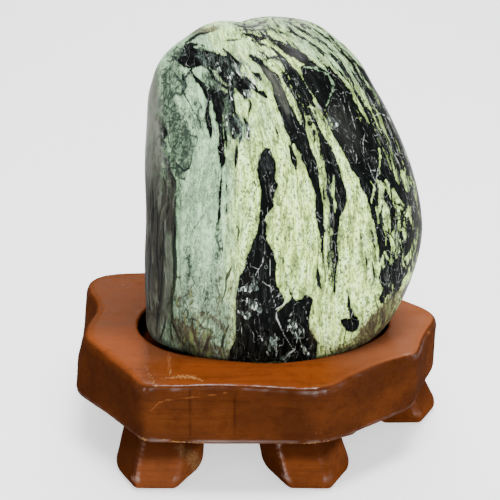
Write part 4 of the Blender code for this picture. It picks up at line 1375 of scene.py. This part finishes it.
@dataclass(frozen=True)
class Flecks:
    """Small flecks of one rock in the other, stretched along the banding, where a share allows them."""

    scale: Place
    seed: int
    layers: int
    thinning: float
    level: float
    crispness: float
    widest: float
    least_share: float = 0.1
    keep: float = 0.6

    def inside(self, layout: Layout, share: np.ndarray, raised: np.ndarray | float = 0.0) -> np.ndarray:
        """Measures how far inside a fleck each point is, as a stroke does.

        Args:
            layout: Where the points lie.
            share: How common the flecks are at each point, from 0 to 1.
            raised: Raises the level that makes a fleck, which leaves fewer of them.

        Returns:
            The distance in from a fleck's edge, in board units.
        """
        noise = layout.noise(self.scale, self.seed, self.layers, self.keep) + self.thinning * (share - 1)
        found = np.minimum((noise - raised - self.level) * self.crispness, self.widest)
        return np.where(share > self.least_share, found, -FARTHEST)


@dataclass(frozen=True)
class Pit:
    """A round worn pit: its middle and radius on the board, and its depth in millimetres."""

    across: float
    down: float
    radius: float
    depth: float
    flatness: float = 1.15

    def depth_at(self, layout: Layout) -> np.ndarray:
        """Returns the pit's depth at each point, in millimetres."""
        off = np.hypot(layout.across - self.across, (layout.down - self.down) * self.flatness)
        return self.depth * eased(off / self.radius, 1.15, 0.25)


@dataclass
class Boulder:
    """The banded boulder."""

    node: bpy.types.Object
    standpoint: Standpoint
    finish: RiverStone = RiverStone()
    step: float = 1.40 * MM
    smoothing: int = 8
    fine_facing: float = 0.42
    foot_height: float = 50 * MM
    swell: float = 0.22
    swell_length: float = 13 * MM
    fold_cut: float = 1.5
    fold_dip: float = 1.2
    fold_brow: float = 0.5
    flute_depth: float = 0.8
    crack_depth: float = 0.16
    foot_spread: float = 1.8
    right_spread: float = 0.6
    fold: Stroke = Stroke((
        (158, 116, 1.2), (163, 136, 1.6), (169, 160, 1.8), (174, 182, 1.6), (176, 205, 1.4),
        (175.5, 228, 1.2), (174.5, 246, 1.0), (175.5, 262, 0.9), (175, 280, 0.9), (172.5, 296, 0.9),
        (171, 308, 1.0), (172.5, 322, 1.4), (178, 336, 2.0), (188, 348, 2.6)))
    flutes: tuple[Stroke, ...] = strokes(
        ((152, 318, 0.8), (155, 328, 1.2), (160, 338, 1.4), (168, 346, 1.2)),
        ((158, 314, 0.7), (162, 326, 1.2), (168, 336, 1.3), (177, 345, 1.2)),
        ((165, 312, 0.6), (168, 322, 1.0), (174, 332, 1.2), (182, 342, 1.0)))
    pits: tuple[Pit, ...] = (Pit(263, 93, 4.2, 1.3), Pit(251, 104, 3.0, 0.8), Pit(350, 324, 7.5, 1.0),
                             Pit(240, 284, 4.0, 0.6), Pit(228, 151, 3.0, 0.4))
    broken: Stroke = Stroke((
        (384, 196, 3), (394, 218, 8), (398, 240, 9), (392, 264, 8), (387, 288, 4), (384, 300, 2)))
    # painted reflections: a grey sheen on the black band under the crown, and a haze on the black of the
    # upper right, where the coat is also glossier
    gleam: Stroke = Stroke((
        (262, 68, 2), (270, 75, 4), (277, 83, 5), (280, 93, 4.5), (284, 103, 3.5), (288, 112, 2)))
    glow: Stroke = Stroke(((338, 112, 8), (346, 130, 10), (354, 150, 8)))
    loop: Stroke = Stroke(((308, 70, 4), (322, 76, 7), (331, 90, 8), (329, 102, 6)))
    wisps: Flecks = Flecks((0.62, 0.050, 0.25), 23, 3, 0.16, 0.06, 9, 1.6)
    lights: Flecks = Flecks((0.75, 0.045, 0.25), 29, 3, 0.2, 0.27, 9, 0.6)
    shards: Flecks = Flecks((0.42, 0.13, 0.3), 71, 4, 0.25, 0.03, 10, 2.0, 0.05)

    def build(self) -> bpy.types.Object:
        """Builds the boulder and dresses it."""
        self.piece = even_copy(self.node, "rock_boulder", self.step, self.smoothing)
        split_facing(self.piece, self.standpoint, self.fine_facing)
        self.surface = Surface(self.piece)
        self.layout = self._lay_out()
        self.shape()
        self.layout = self._lay_out()
        self.mark()
        self.piece.data.materials.append(self.finish.material())
        return self.piece

    def _lay_out(self) -> Layout:
        """Finds where each point lies; the banding goes on round the unseen side, a little skewed."""
        points = self.surface.points
        board = self.standpoint.on_board(points)
        view = eased(self.standpoint.facing(points, self.surface.normals), -0.10, 0.08)
        skewed = points[:, 0] + 0.77 * (points[:, 1] + 8 * MM)
        raised = (points[:, 2] - self.foot_height) / (0.60 * MM)
        turned = np.stack((250 + skewed / (UNIT * MM), 345 - raised), axis=1)
        mixed = board * view[:, None] + turned * (1 - view[:, None])
        bend = np.stack((mixed[:, 0] / 40, mixed[:, 1] / 60, points[:, 1] / (30 * MM)), axis=1)
        across = across_grain(mixed) + 5 * layered_noise(bend, 5, 3)
        run = np.stack((across * UNIT, mixed[:, 1] * UNIT, points[:, 1] / MM * 0.6), axis=1)
        return Layout(board, across_grain(board), run, view)

    def shape(self) -> None:
        """Gives the surface its low swells, the crisp fold, the flutes, pits, cracks and broken facets."""
        points, normals, layout = self.surface.points, self.surface.normals, self.layout
        fold = self.fold.inside(layout.board)
        cut = self.fold_cut * eased(fold, -2.6, 0.8) + self.fold_dip * eased(fold, -8.0, 0.0)
        cut -= self.fold_brow * eased(fold, -8.0, -3.5) * eased(fold, -1.5, -4.5)
        for flute in self.flutes:
            cut += self.flute_depth * eased(flute.inside(layout.board), -1.6, 1.0)
        for pit in self.pits:
            cut += pit.depth_at(layout)
        for crack in CRACKS:
            cut += self.crack_depth * eased(crack.inside(layout.board), -0.9, 0.5)
        broken = eased(deepest(CHIPS, layout.board), -3.0, 2.0)
        lift = self.swell * layered_noise(points / self.swell_length, 3, 3)
        lift += layout.view * (broken * self._facets(points) - cut)
        height = points[:, 2] / MM
        west, east = eased(-normals[:, 0], 0.35, 0.8), eased(normals[:, 0], 0.45, 0.85)
        flare = eased(height, 44, 52) * eased(height, 84, 56)
        lift += self.foot_spread * flare * (west + self.right_spread * east)
        self.surface.move(lift * MM)

    @staticmethod
    def _facets(points: np.ndarray) -> np.ndarray:
        """Works out broken facets, each a small plane tilted its own way.

        Args:
            points: Places, three numbers to a row.

        Returns:
            The height of the facets at each point, in millimetres.
        """
        total = np.zeros(len(points))
        for size, depth, seed in ((4.2, 0.55, 21), (2.0, 0.28, 33)):
            spots = points / (size * MM)
            base = np.floor(spots)
            nearest, tilt = np.full(len(points), np.inf), np.zeros(len(points))
            for corner in itertools.product((-1, 0, 1), repeat=3):
                cell = base + corner
                jitter = np.stack([hashed(cell, seed + k) for k in range(3)], axis=1)
                off = spots - cell - jitter
                gap = (off**2).sum(axis=1)
                lean = np.stack([hashed(cell, seed + 5 + k) for k in range(3)], axis=1) - 0.5
                plane = (off * lean).sum(axis=1) * 1.6 + hashed(cell, seed + 9) - 0.75
                closer = gap < nearest
                nearest, tilt = np.where(closer, gap, nearest), np.where(closer, plane, tilt)
            total += depth * tilt
        return total

    def mark(self) -> None:
        """Keeps the banding, the tones, the fine marks, and the painted shade and sheen on the surface for
        the finish to read.
        """
        layout = self.layout
        wobble = np.stack((layout.across / 5, layout.down / 9, np.zeros(len(layout.board))), axis=1)
        drift = np.stack((layered_noise(wobble, 41, 3), layered_noise(wobble, 57, 3)), axis=1)
        drawn = layout.board + drift * (1.1, 1.6)
        traced = layout.board + drift * 0.5
        rim = eased(layout.across - 0.42 * (layout.down - 110), 378, 392)
        rim *= eased(layout.down, 84, 110) * eased(layout.down, 212, 186)
        self._keep_banding(drawn, rim)
        self._keep_mint(rim)
        self._keep_polish()
        unseen_grey = 0.6 * eased(layout.noise((0.03, 0.012, 0.03), 43), 0.0, 0.5)
        smudge = soft_share(SMUDGES, drawn, 3.5) * layout.view
        self.surface.keep(
            vein=UNIT * layout.joined(deepest(VEINS, traced), -FARTHEST),
            crack=UNIT * layout.joined(deepest(CRACKS, traced), -FARTHEST),
            smudge=np.maximum(smudge, unseen_grey * (1 - layout.view)),
            crystal=soft_share(CRYSTALS, drawn, 2.0) * layout.view,
            stain=self._stain(drawn) * layout.view,
            murk=soft_share(MURK, drawn, 3.5) * layout.view)

    def _keep_banding(self, drawn: np.ndarray, rim: np.ndarray) -> None:
        """Keeps where the rock is black, where black and pale run together, and the banding's run.

        Args:
            drawn: The points' places on the board, wobbled so that no edge is straight.
            rim: The lighter rim of the black upper right, from 0 to 1.
        """
        layout = self.layout
        black = np.full(len(drawn), -FARTHEST)
        for rock, marks in BANDING:
            for mark in marks:
                found = mark.inside(drawn)
                black = np.maximum(black, found) if rock is Rock.BLACK else np.minimum(black, -found)
        busy = eased(deepest(STREAKS, drawn), -5.0, 5.0)
        busy *= 1 - 0.75 * eased(layout.down - 0.35 * (layout.across - 300).clip(0, 80), 76, 52)
        broken = eased(self.broken.inside(layout.board), -4.0, 3.0)
        black = np.maximum(black, self.wisps.inside(layout, busy))
        black = np.minimum(black, -self.lights.inside(layout, busy, 0.14 * rim))
        black = np.maximum(black, self.shards.inside(layout, broken))
        lenses = layout.noise((0.075, 0.016, 0.03), 11, 4, 0.55)
        lenses += 0.28 * layout.noise((0.02, 0.01, 0.02), 19, 2)
        unseen_black = np.clip((lenses - 0.05) * 26, -FARTHEST, FARTHEST)
        self.surface.keep(
            busy=layout.joined(busy, 0.5), dark=UNIT * layout.joined(black, unseen_black),
            grain=layout.run)

    def _keep_mint(self, rim: np.ndarray) -> None:
        """Keeps how far the pale rock turns from cream to mint.

        Args:
            rim: The lighter rim of the black upper right, from 0 to 1.
        """
        layout = self.layout
        below_crown = layout.down - 18 - 0.6 * (layout.across - 290).clip(-20, 200)
        shoulder = eased(layout.down, 190, 110) * eased(layout.course, 330, 300)
        mint = np.max((eased(layout.course, 262, 205), 0.45 * shoulder, 0.62 * eased(below_crown, 48, 14),
                       0.9 * eased(self.loop.inside(layout.board), -5, 1), 0.7 * rim), axis=0)
        unseen_mint = 0.30 + 0.5 * layout.noise((0.02, 0.01, 0.02), 37, 2)
        self.surface.keep(mint=layout.joined(mint, unseen_mint))

    def _keep_polish(self) -> None:
        """Keeps the darkening of the left column and the right edge, partly dark skin and partly painted
        shade, the painted sheen and reflections, and the glossy coat.
        """
        layout, across, down = self.layout, self.layout.across, self.layout.down
        ragged = 3.0 * layout.noise((0.30, 0.05, 0.2), 47, 3, 0.6)
        turns = np.array(self.fold.spots)
        past_fold = across - np.interp(down, turns[:, 1], turns[:, 0])
        ridge = eased(np.abs(past_fold + 6.5 + 0.5 * ragged), 4.5, 1.5)
        ridge *= eased(down, 226, 244) * eased(down, 330, 316)
        # painted shade: the left column is darkened, partly its own dark skin and partly shade where it
        # faces away from the light
        column = eased(past_fold + 0.6 * ragged, 1.0, -1.5)
        low_left = column * eased(down, 116, 210) * (1 - 0.42 * ridge) * (1 - 0.5 * eased(down, 312, 328))
        # the right edge likewise, partly dark skin and partly painted shade
        low_right = 0.55 * eased(across, 408, 422) * eased(down, 100, 160)
        # painted reflection: a lighter grey band along the upper left edge
        edge = eased(across - 0.10 * (down - 100).clip(-60, 0) + ragged, 166, 158) * eased(down, 40, 80)
        # painted haze of reflected light over the crown
        crown = 0.35 * eased(down + 0.10 * (across - 240) + ragged, 38, 26) * eased(across, 236, 262)
        # painted reflections on the black band under the crown, and haze on the black of the upper right
        gleam = eased(self.gleam.inside(layout.board), -2.5, 2.5)
        glow = eased(self.glow.inside(layout.board), -7, 6)
        top = eased(down - 0.35 * (across - 250).clip(0, 40), 78, 48)
        # all painted sheen and reflection, but for a lighter grey line down the left column
        ashen = np.maximum(edge, crown) + ridge + 0.42 * gleam + 0.07 * glow
        self.surface.keep(
            dusk=layout.joined(np.clip(low_left + low_right, 0, 1), 0.2),
            ash=np.clip(ashen, 0, 1) * layout.view,
            sheen=layout.joined(np.maximum(top, 0.7 * glow), 0.3))

    def _stain(self, drawn: np.ndarray) -> np.ndarray:
        """Works out the drawn earth stains, the low left's painted shade, the foot's staining and painted
        shade, and a darker lower right corner.

        Args:
            drawn: Their wobbled places on the board.

        Returns:
            How brown and shaded each point is, from 0 upwards.
        """
        layout, height = self.layout, self.surface.points[:, 2]
        # painted shade: the lower left darkens as it turns from the light
        low_left = 0.52 * eased(layout.down, 225, 320) * eased(layout.course, 268, 235)
        # toward the foot, partly staining and partly painted shade
        foot = 0.95 * eased(height, 76 * MM, 52 * MM)
        stain = np.max((soft_share(STAINS, drawn, 6.0), low_left, foot), axis=0)
        stain += 0.45 * eased(height, 66 * MM, 50 * MM)
        # darker at the lower right corner
        return stain + 0.9 * eased(layout.across, 352, 378) * eased(layout.down, 306, 328)


# ------------------------------------------------------------
# The stand


@dataclass
class Carving:
    """What the slab and the feet share: a worn, hand carved surface under lacquer."""

    standpoint: Standpoint
    step: float
    smoothing: int = 3
    knife_marks: tuple[float, float, float] = (19 * MM, 17 * MM, 12 * MM)
    nick_size: float = 5 * MM
    crest_wear: float = 0.35
    worn_bend: float = 8 * MM

    def carve(self, node: bpy.types.Object, name: str, depth: float, seed: int) -> Surface:
        """Covers a solid evenly, then gives it shallow knife marks and softened crests.

        Args:
            node: The solid.
            name: The piece's name.
            depth: The knife marks' depth, in millimetres.
            seed: Chooses their places.

        Returns:
            The piece's surface.
        """
        surface = Surface(even_copy(node, name, self.step, self.smoothing))
        marks = layered_noise(surface.points / self.knife_marks, seed, 3, 0.45)
        nicks = eased(layered_noise(surface.points / self.nick_size, seed + 7, 2), -0.2, 0.5)
        crest = eased(surface.ridges(), 0.03 * MM, 0.12 * MM)
        sole = surface.points[:, 2].min()
        surface.move((depth * marks - self.crest_wear * crest * nicks) * MM)
        surface.points[:, 2] = np.maximum(surface.points[:, 2], sole)
        surface.store()
        return surface

    def read_wear(self, surface: Surface) -> tuple[np.ndarray, np.ndarray]:
        """Keeps the place of each point and works out its wear.

        Args:
            surface: The piece's surface.

        Returns:
            Each point's place on the board, and its wear from 0 to 1.
        """
        bend = self.worn_bend * surface.ridges() / self.step**2
        wear = eased(bend, 0.10, 0.30) * (1 - 0.88 * eased(-surface.normals[:, 2], -0.15, 0.30))
        surface.keep(place=surface.points / MM)
        return self.standpoint.on_board(surface.points), wear


@dataclass
class Slab(Carving):
    """The thick slab with the recess that the rock stands in."""

    step: float = 1.05 * MM
    knife_depth: float = 0.32
    middle: tuple[float, float] = (5 * MM, 10 * MM)
    finish: Lacquer = Lacquer()
    joints: tuple[Stroke, ...] = strokes(
        ((189, 386, 0.3), (190, 400, 0.7), (189, 416, 0.6), (190, 436, 0.4)),
        ((234, 392, 0.2), (235, 410, 0.4), (234, 436, 0.3)))
    # marks of wear; the first, a faint light arc across the front face, is partly a painted highlight along
    # a low ridge
    scuffs: tuple[Stroke, ...] = strokes(
        ((150, 412, 0.3), (158, 403, 0.6), (168, 399.5, 0.6), (182, 398.5, 0.5), (204, 396, 0.4),
         (226, 393, 0.3)),
        ((168, 352, 0.4), (168.5, 362, 0.9), (169, 374, 0.5)),
        ((428, 332, 1.2), (429, 333, 1.2)))
    flakes: tuple[Stroke, ...] = strokes(
        ((160, 379, -0.4), (170, 378, 0.8), (182, 376.5, 1.2), (192, 377, 1.4), (200, 380, 0.6),
         (206, 381, -0.4)),
        ((144, 362, -0.6), (149, 374, 0.2), (154, 382, 0.4), (157, 392, -0.2)),
        ((169, 352, -0.2), (170, 362, 0.1), (170, 374, 0.2)),
        ((160, 440, -0.6), (178, 442, 0.2), (210, 444.5, 0.4), (260, 445, 0.2), (300, 444, 0.2),
         (345, 440, -0.4)),
        ((104, 420, 0.3), (128, 434, 0.6), (146, 440, 0.6)))

    def build(self, node: bpy.types.Object) -> bpy.types.Object:
        """Builds the slab and dresses it.

        Args:
            node: The solid that it covers.

        Returns:
            The finished slab.
        """
        surface = self.carve(node, "stand_slab_lacquered", self.knife_depth, 61)
        points, normals = surface.points, surface.normals
        board, wear = self.read_wear(surface)
        across, down = board[:, 0], board[:, 1]
        top = points[:, 2].max()

        def below_top(start: float, end: float) -> np.ndarray:
            """Goes smoothly from 0 to 1 between two depths under the top, in millimetres."""
            return eased(points[:, 2], top - start * MM, top - end * MM)

        level = eased(normals[:, 2], 0.72, 0.93)
        near_left = eased(across, 150, 134) * eased(down, 322, 344)
        before_rock = eased(np.abs(across - 255), 125, 60) * eased(down, 350, 366)
        # the dusty layer and its painted sheen are thinned before the rock and at the near left
        bright = (1 - 0.8 * before_rock) * (1 - 0.85 * near_left)
        view = eased(self.standpoint.facing(points, normals), 0.0, 0.15)
        outward = points[:, :2] - self.middle
        outward /= np.linalg.norm(outward, axis=1)[:, None]
        towards = -(normals[:, :2] * outward).sum(axis=1)
        inward = eased(towards, 0.15, 0.5)
        # painted shade in the recess: its floor and its inner walls
        deep = np.maximum(level * below_top(5, 9), inward * below_top(0.5, 3))
        # painted shade on the left faces and the middle of the front face
        west = eased(-normals[:, 0], 0.3, 0.8) * eased(normals[:, 2], 0.8, 0.3)
        front = eased(across, 222, 238) * eased(across, 318, 296) * eased(-normals[:, 1], 0.5, 0.9)
        wear *= 0.30 + 0.70 * eased(across, 144, 160) * eased(across, 342, 320)
        sunny = 0.8 * eased(across, 310, 390) * eased(down, 400, 340)
        surface.keep(
            level=level, upper=level * bright * below_top(5, 1.5),
            joint=soft_share(self.joints, board, 0.7) * view,
            scuff=soft_share(self.scuffs, board, 0.9) * view,
            bare=soft_share(self.flakes, board, 1.6) * view,
            shade=np.maximum(0.45 * west + 0.22 * front, deep),
            wear=wear * (1 - 0.97 * eased(towards, 0.02, 0.15) * below_top(22, 17)),
            # painted shadow, near black, down the recess walls
            hollow=inward * below_top(1.0, 3.5),
            sunny=level * np.maximum(sunny, 0.28 * near_left))
        surface.piece.data.materials.append(self.finish.material("lacquered_slab"))
        return surface.piece


@dataclass
class Foot(Carving):
    """One of the six sided feet."""

    step: float = 0.62 * MM
    knife_depth: float = 0.28
    finish: Lacquer = Lacquer(body=(0.070, 0.0175, 0.0038, 1), warm=(0.112, 0.0285, 0.0055, 1),
                              raw=(0.15, 0.085, 0.034, 1), gloss=0.26, dusty=0.30, coat_ior=2.6)
    raw_side: Stroke = Stroke(((178, 447, 3), (190, 455, 6), (198, 470, 5)))

    def build(self, node: bpy.types.Object, seed: int) -> bpy.types.Object:
        """Builds one foot and dresses it.

        Args:
            node: The solid that it covers.
            seed: Chooses its knife marks.

        Returns:
            The finished foot.
        """
        surface = self.carve(node, f"{node.name}_lacquered", self.knife_depth, seed)
        board, wear = self.read_wear(surface)
        across, down = board[:, 0], board[:, 1]
        normals, height = surface.normals, surface.points[:, 2]
        east = eased(normals[:, 0], -0.05, 0.20)
        # painted shade: the shadow under the slab, the left faces, and a darker right foot
        under_slab = 0.80 * eased(height, 14 * MM, 21 * MM)
        west = 0.85 * eased(-normals[:, 0], 0.22, 0.55)
        far_right = 0.3 * eased(across, 370, 385)
        nothing = np.zeros(len(height))
        surface.keep(
            wear=wear * eased(height, 3 * MM, 12 * MM) * (1 - 0.75 * east),
            upper=eased(normals[:, 2], 0.2, 0.6),
            joint=nothing, scuff=nothing, level=nothing, hollow=nothing,
            sunny=0.16 * eased(across, 215, 195) * eased(down, 440, 452),
            bare=0.92 * eased(self.raw_side.inside(board), -5, 3),
            shade=np.max((under_slab, west, far_right), axis=0) * (1 - 0.9 * wear))
        surface.piece.data.materials.append(self.finish.material(f"lacquered_{node.name}"))
        return surface.piece


# ------------------------------------------------------------
# The studio


@dataclass(frozen=True)
class Softbox:
    """A soft square light."""

    name: str
    place: Place
    aim: Place
    width: float
    height: float
    power: float
    colour: tuple[float, float, float] = (1, 1, 1)

    def hang(self) -> None:
        """Hangs the light."""
        data = bpy.data.lights.new(self.name, "AREA")
        data.shape, data.size, data.size_y = "RECTANGLE", self.width, self.height
        data.energy, data.color = self.power, self.colour
        light = bpy.data.objects.new(self.name, data)
        light.location = self.place
        sight = np.array(self.aim) - np.array(self.place)
        light.rotation_euler = (math.atan2(math.hypot(sight[0], sight[1]), -sight[2]), 0,
                                math.atan2(sight[1], sight[0]) - math.pi / 2)
        bpy.context.scene.collection.objects.link(light)


@dataclass(frozen=True)
class Studio:
    """A pale floor and soft light."""

    floor_side: float = 6.0
    floor_tone: Colour = (0.70, 0.70, 0.70, 1)
    floor_glow: float = 0.9
    floor_rough: float = 0.9
    sky: Colour = (1.0, 1.0, 1.0, 1)
    sky_power: float = 0.40
    softboxes: tuple[Softbox, ...] = (
        Softbox("overhead", (0.08, -0.22, 1.3), (0, 0, 0.05), 0.60, 0.36, 28),
        Softbox("front_panel", (0.5, -1.8, 0.95), (0, 0, 0.10), 2.8, 1.4, 58),
        Softbox("right_panel", (1.4, 0.1, 0.6), (0, 0, 0.1), 0.8, 1.0, 6),
        Softbox("left_strip", (-1.1, -1.0, 0.55), (0, 0, 0.03), 0.30, 0.8, 8),
        Softbox("floor_wash", (0.0, 2.0, 1.5), (0, 2.0, 0), 3.2, 1.6, 90),
    )

    def build(self) -> None:
        """Lays the floor, sets the sky and hangs the lights."""
        bm = bmesh.new()
        bmesh.ops.create_grid(bm, x_segments=8, y_segments=8, size=self.floor_side / 2)
        mesh = bpy.data.meshes.new("floor")
        bm.to_mesh(mesh)
        bm.free()
        floor = bpy.data.objects.new("floor", mesh)
        bpy.context.scene.collection.objects.link(floor)
        g = Graph("pale_floor")
        mesh.materials.append(g.finish(
            Base_Color=self.floor_tone, Roughness=self.floor_rough, Specular_IOR_Level=0.0,
            Emission_Color=(1, 1, 1, 1), Emission_Strength=self.floor_glow))
        world = bpy.data.worlds.new("sky")
        world.use_nodes = True
        sky = next(n for n in world.node_tree.nodes if n.type == "BACKGROUND")
        sky.inputs["Color"].default_value = self.sky
        sky.inputs["Strength"].default_value = self.sky_power
        bpy.context.scene.world = world
        for softbox in self.softboxes:
            softbox.hang()


FEET = ("foot_front_left", "foot_front_right", "foot_right", "foot_back", "foot_back_left")
FIRST_FOOT_SEED = 80


def place(piece: bpy.types.Object, slot: str, *nodes: str) -> None:
    """Hands a piece to the frame.

    Args:
        piece: The piece.
        slot: Its finish slot; not used.
        *nodes: The solids that it stands for.
    """
    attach(piece, "root")
    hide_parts(*nodes)
    log.info("%s: %d faces", piece.name, len(piece.data.polygons))


def main() -> None:
    """Builds the rock, its stand and the studio."""
    logging.basicConfig(level=logging.INFO, format="%(name)s %(message)s")
    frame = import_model()
    nodes = frame["nodes"]
    standpoint = Standpoint()
    standpoint.place_camera()
    Studio().build()
    place(Boulder(nodes["stone"], standpoint).build(), "stone", "stone")
    place(Slab(standpoint).build(nodes["stand_slab"]), "slab_wood", "stand_slab")
    foot = Foot(standpoint)
    for seed, name in enumerate(FEET, FIRST_FOOT_SEED):
        place(foot.build(nodes[name], seed), "foot_wood", name)


if __name__ == "__main__":
    main()
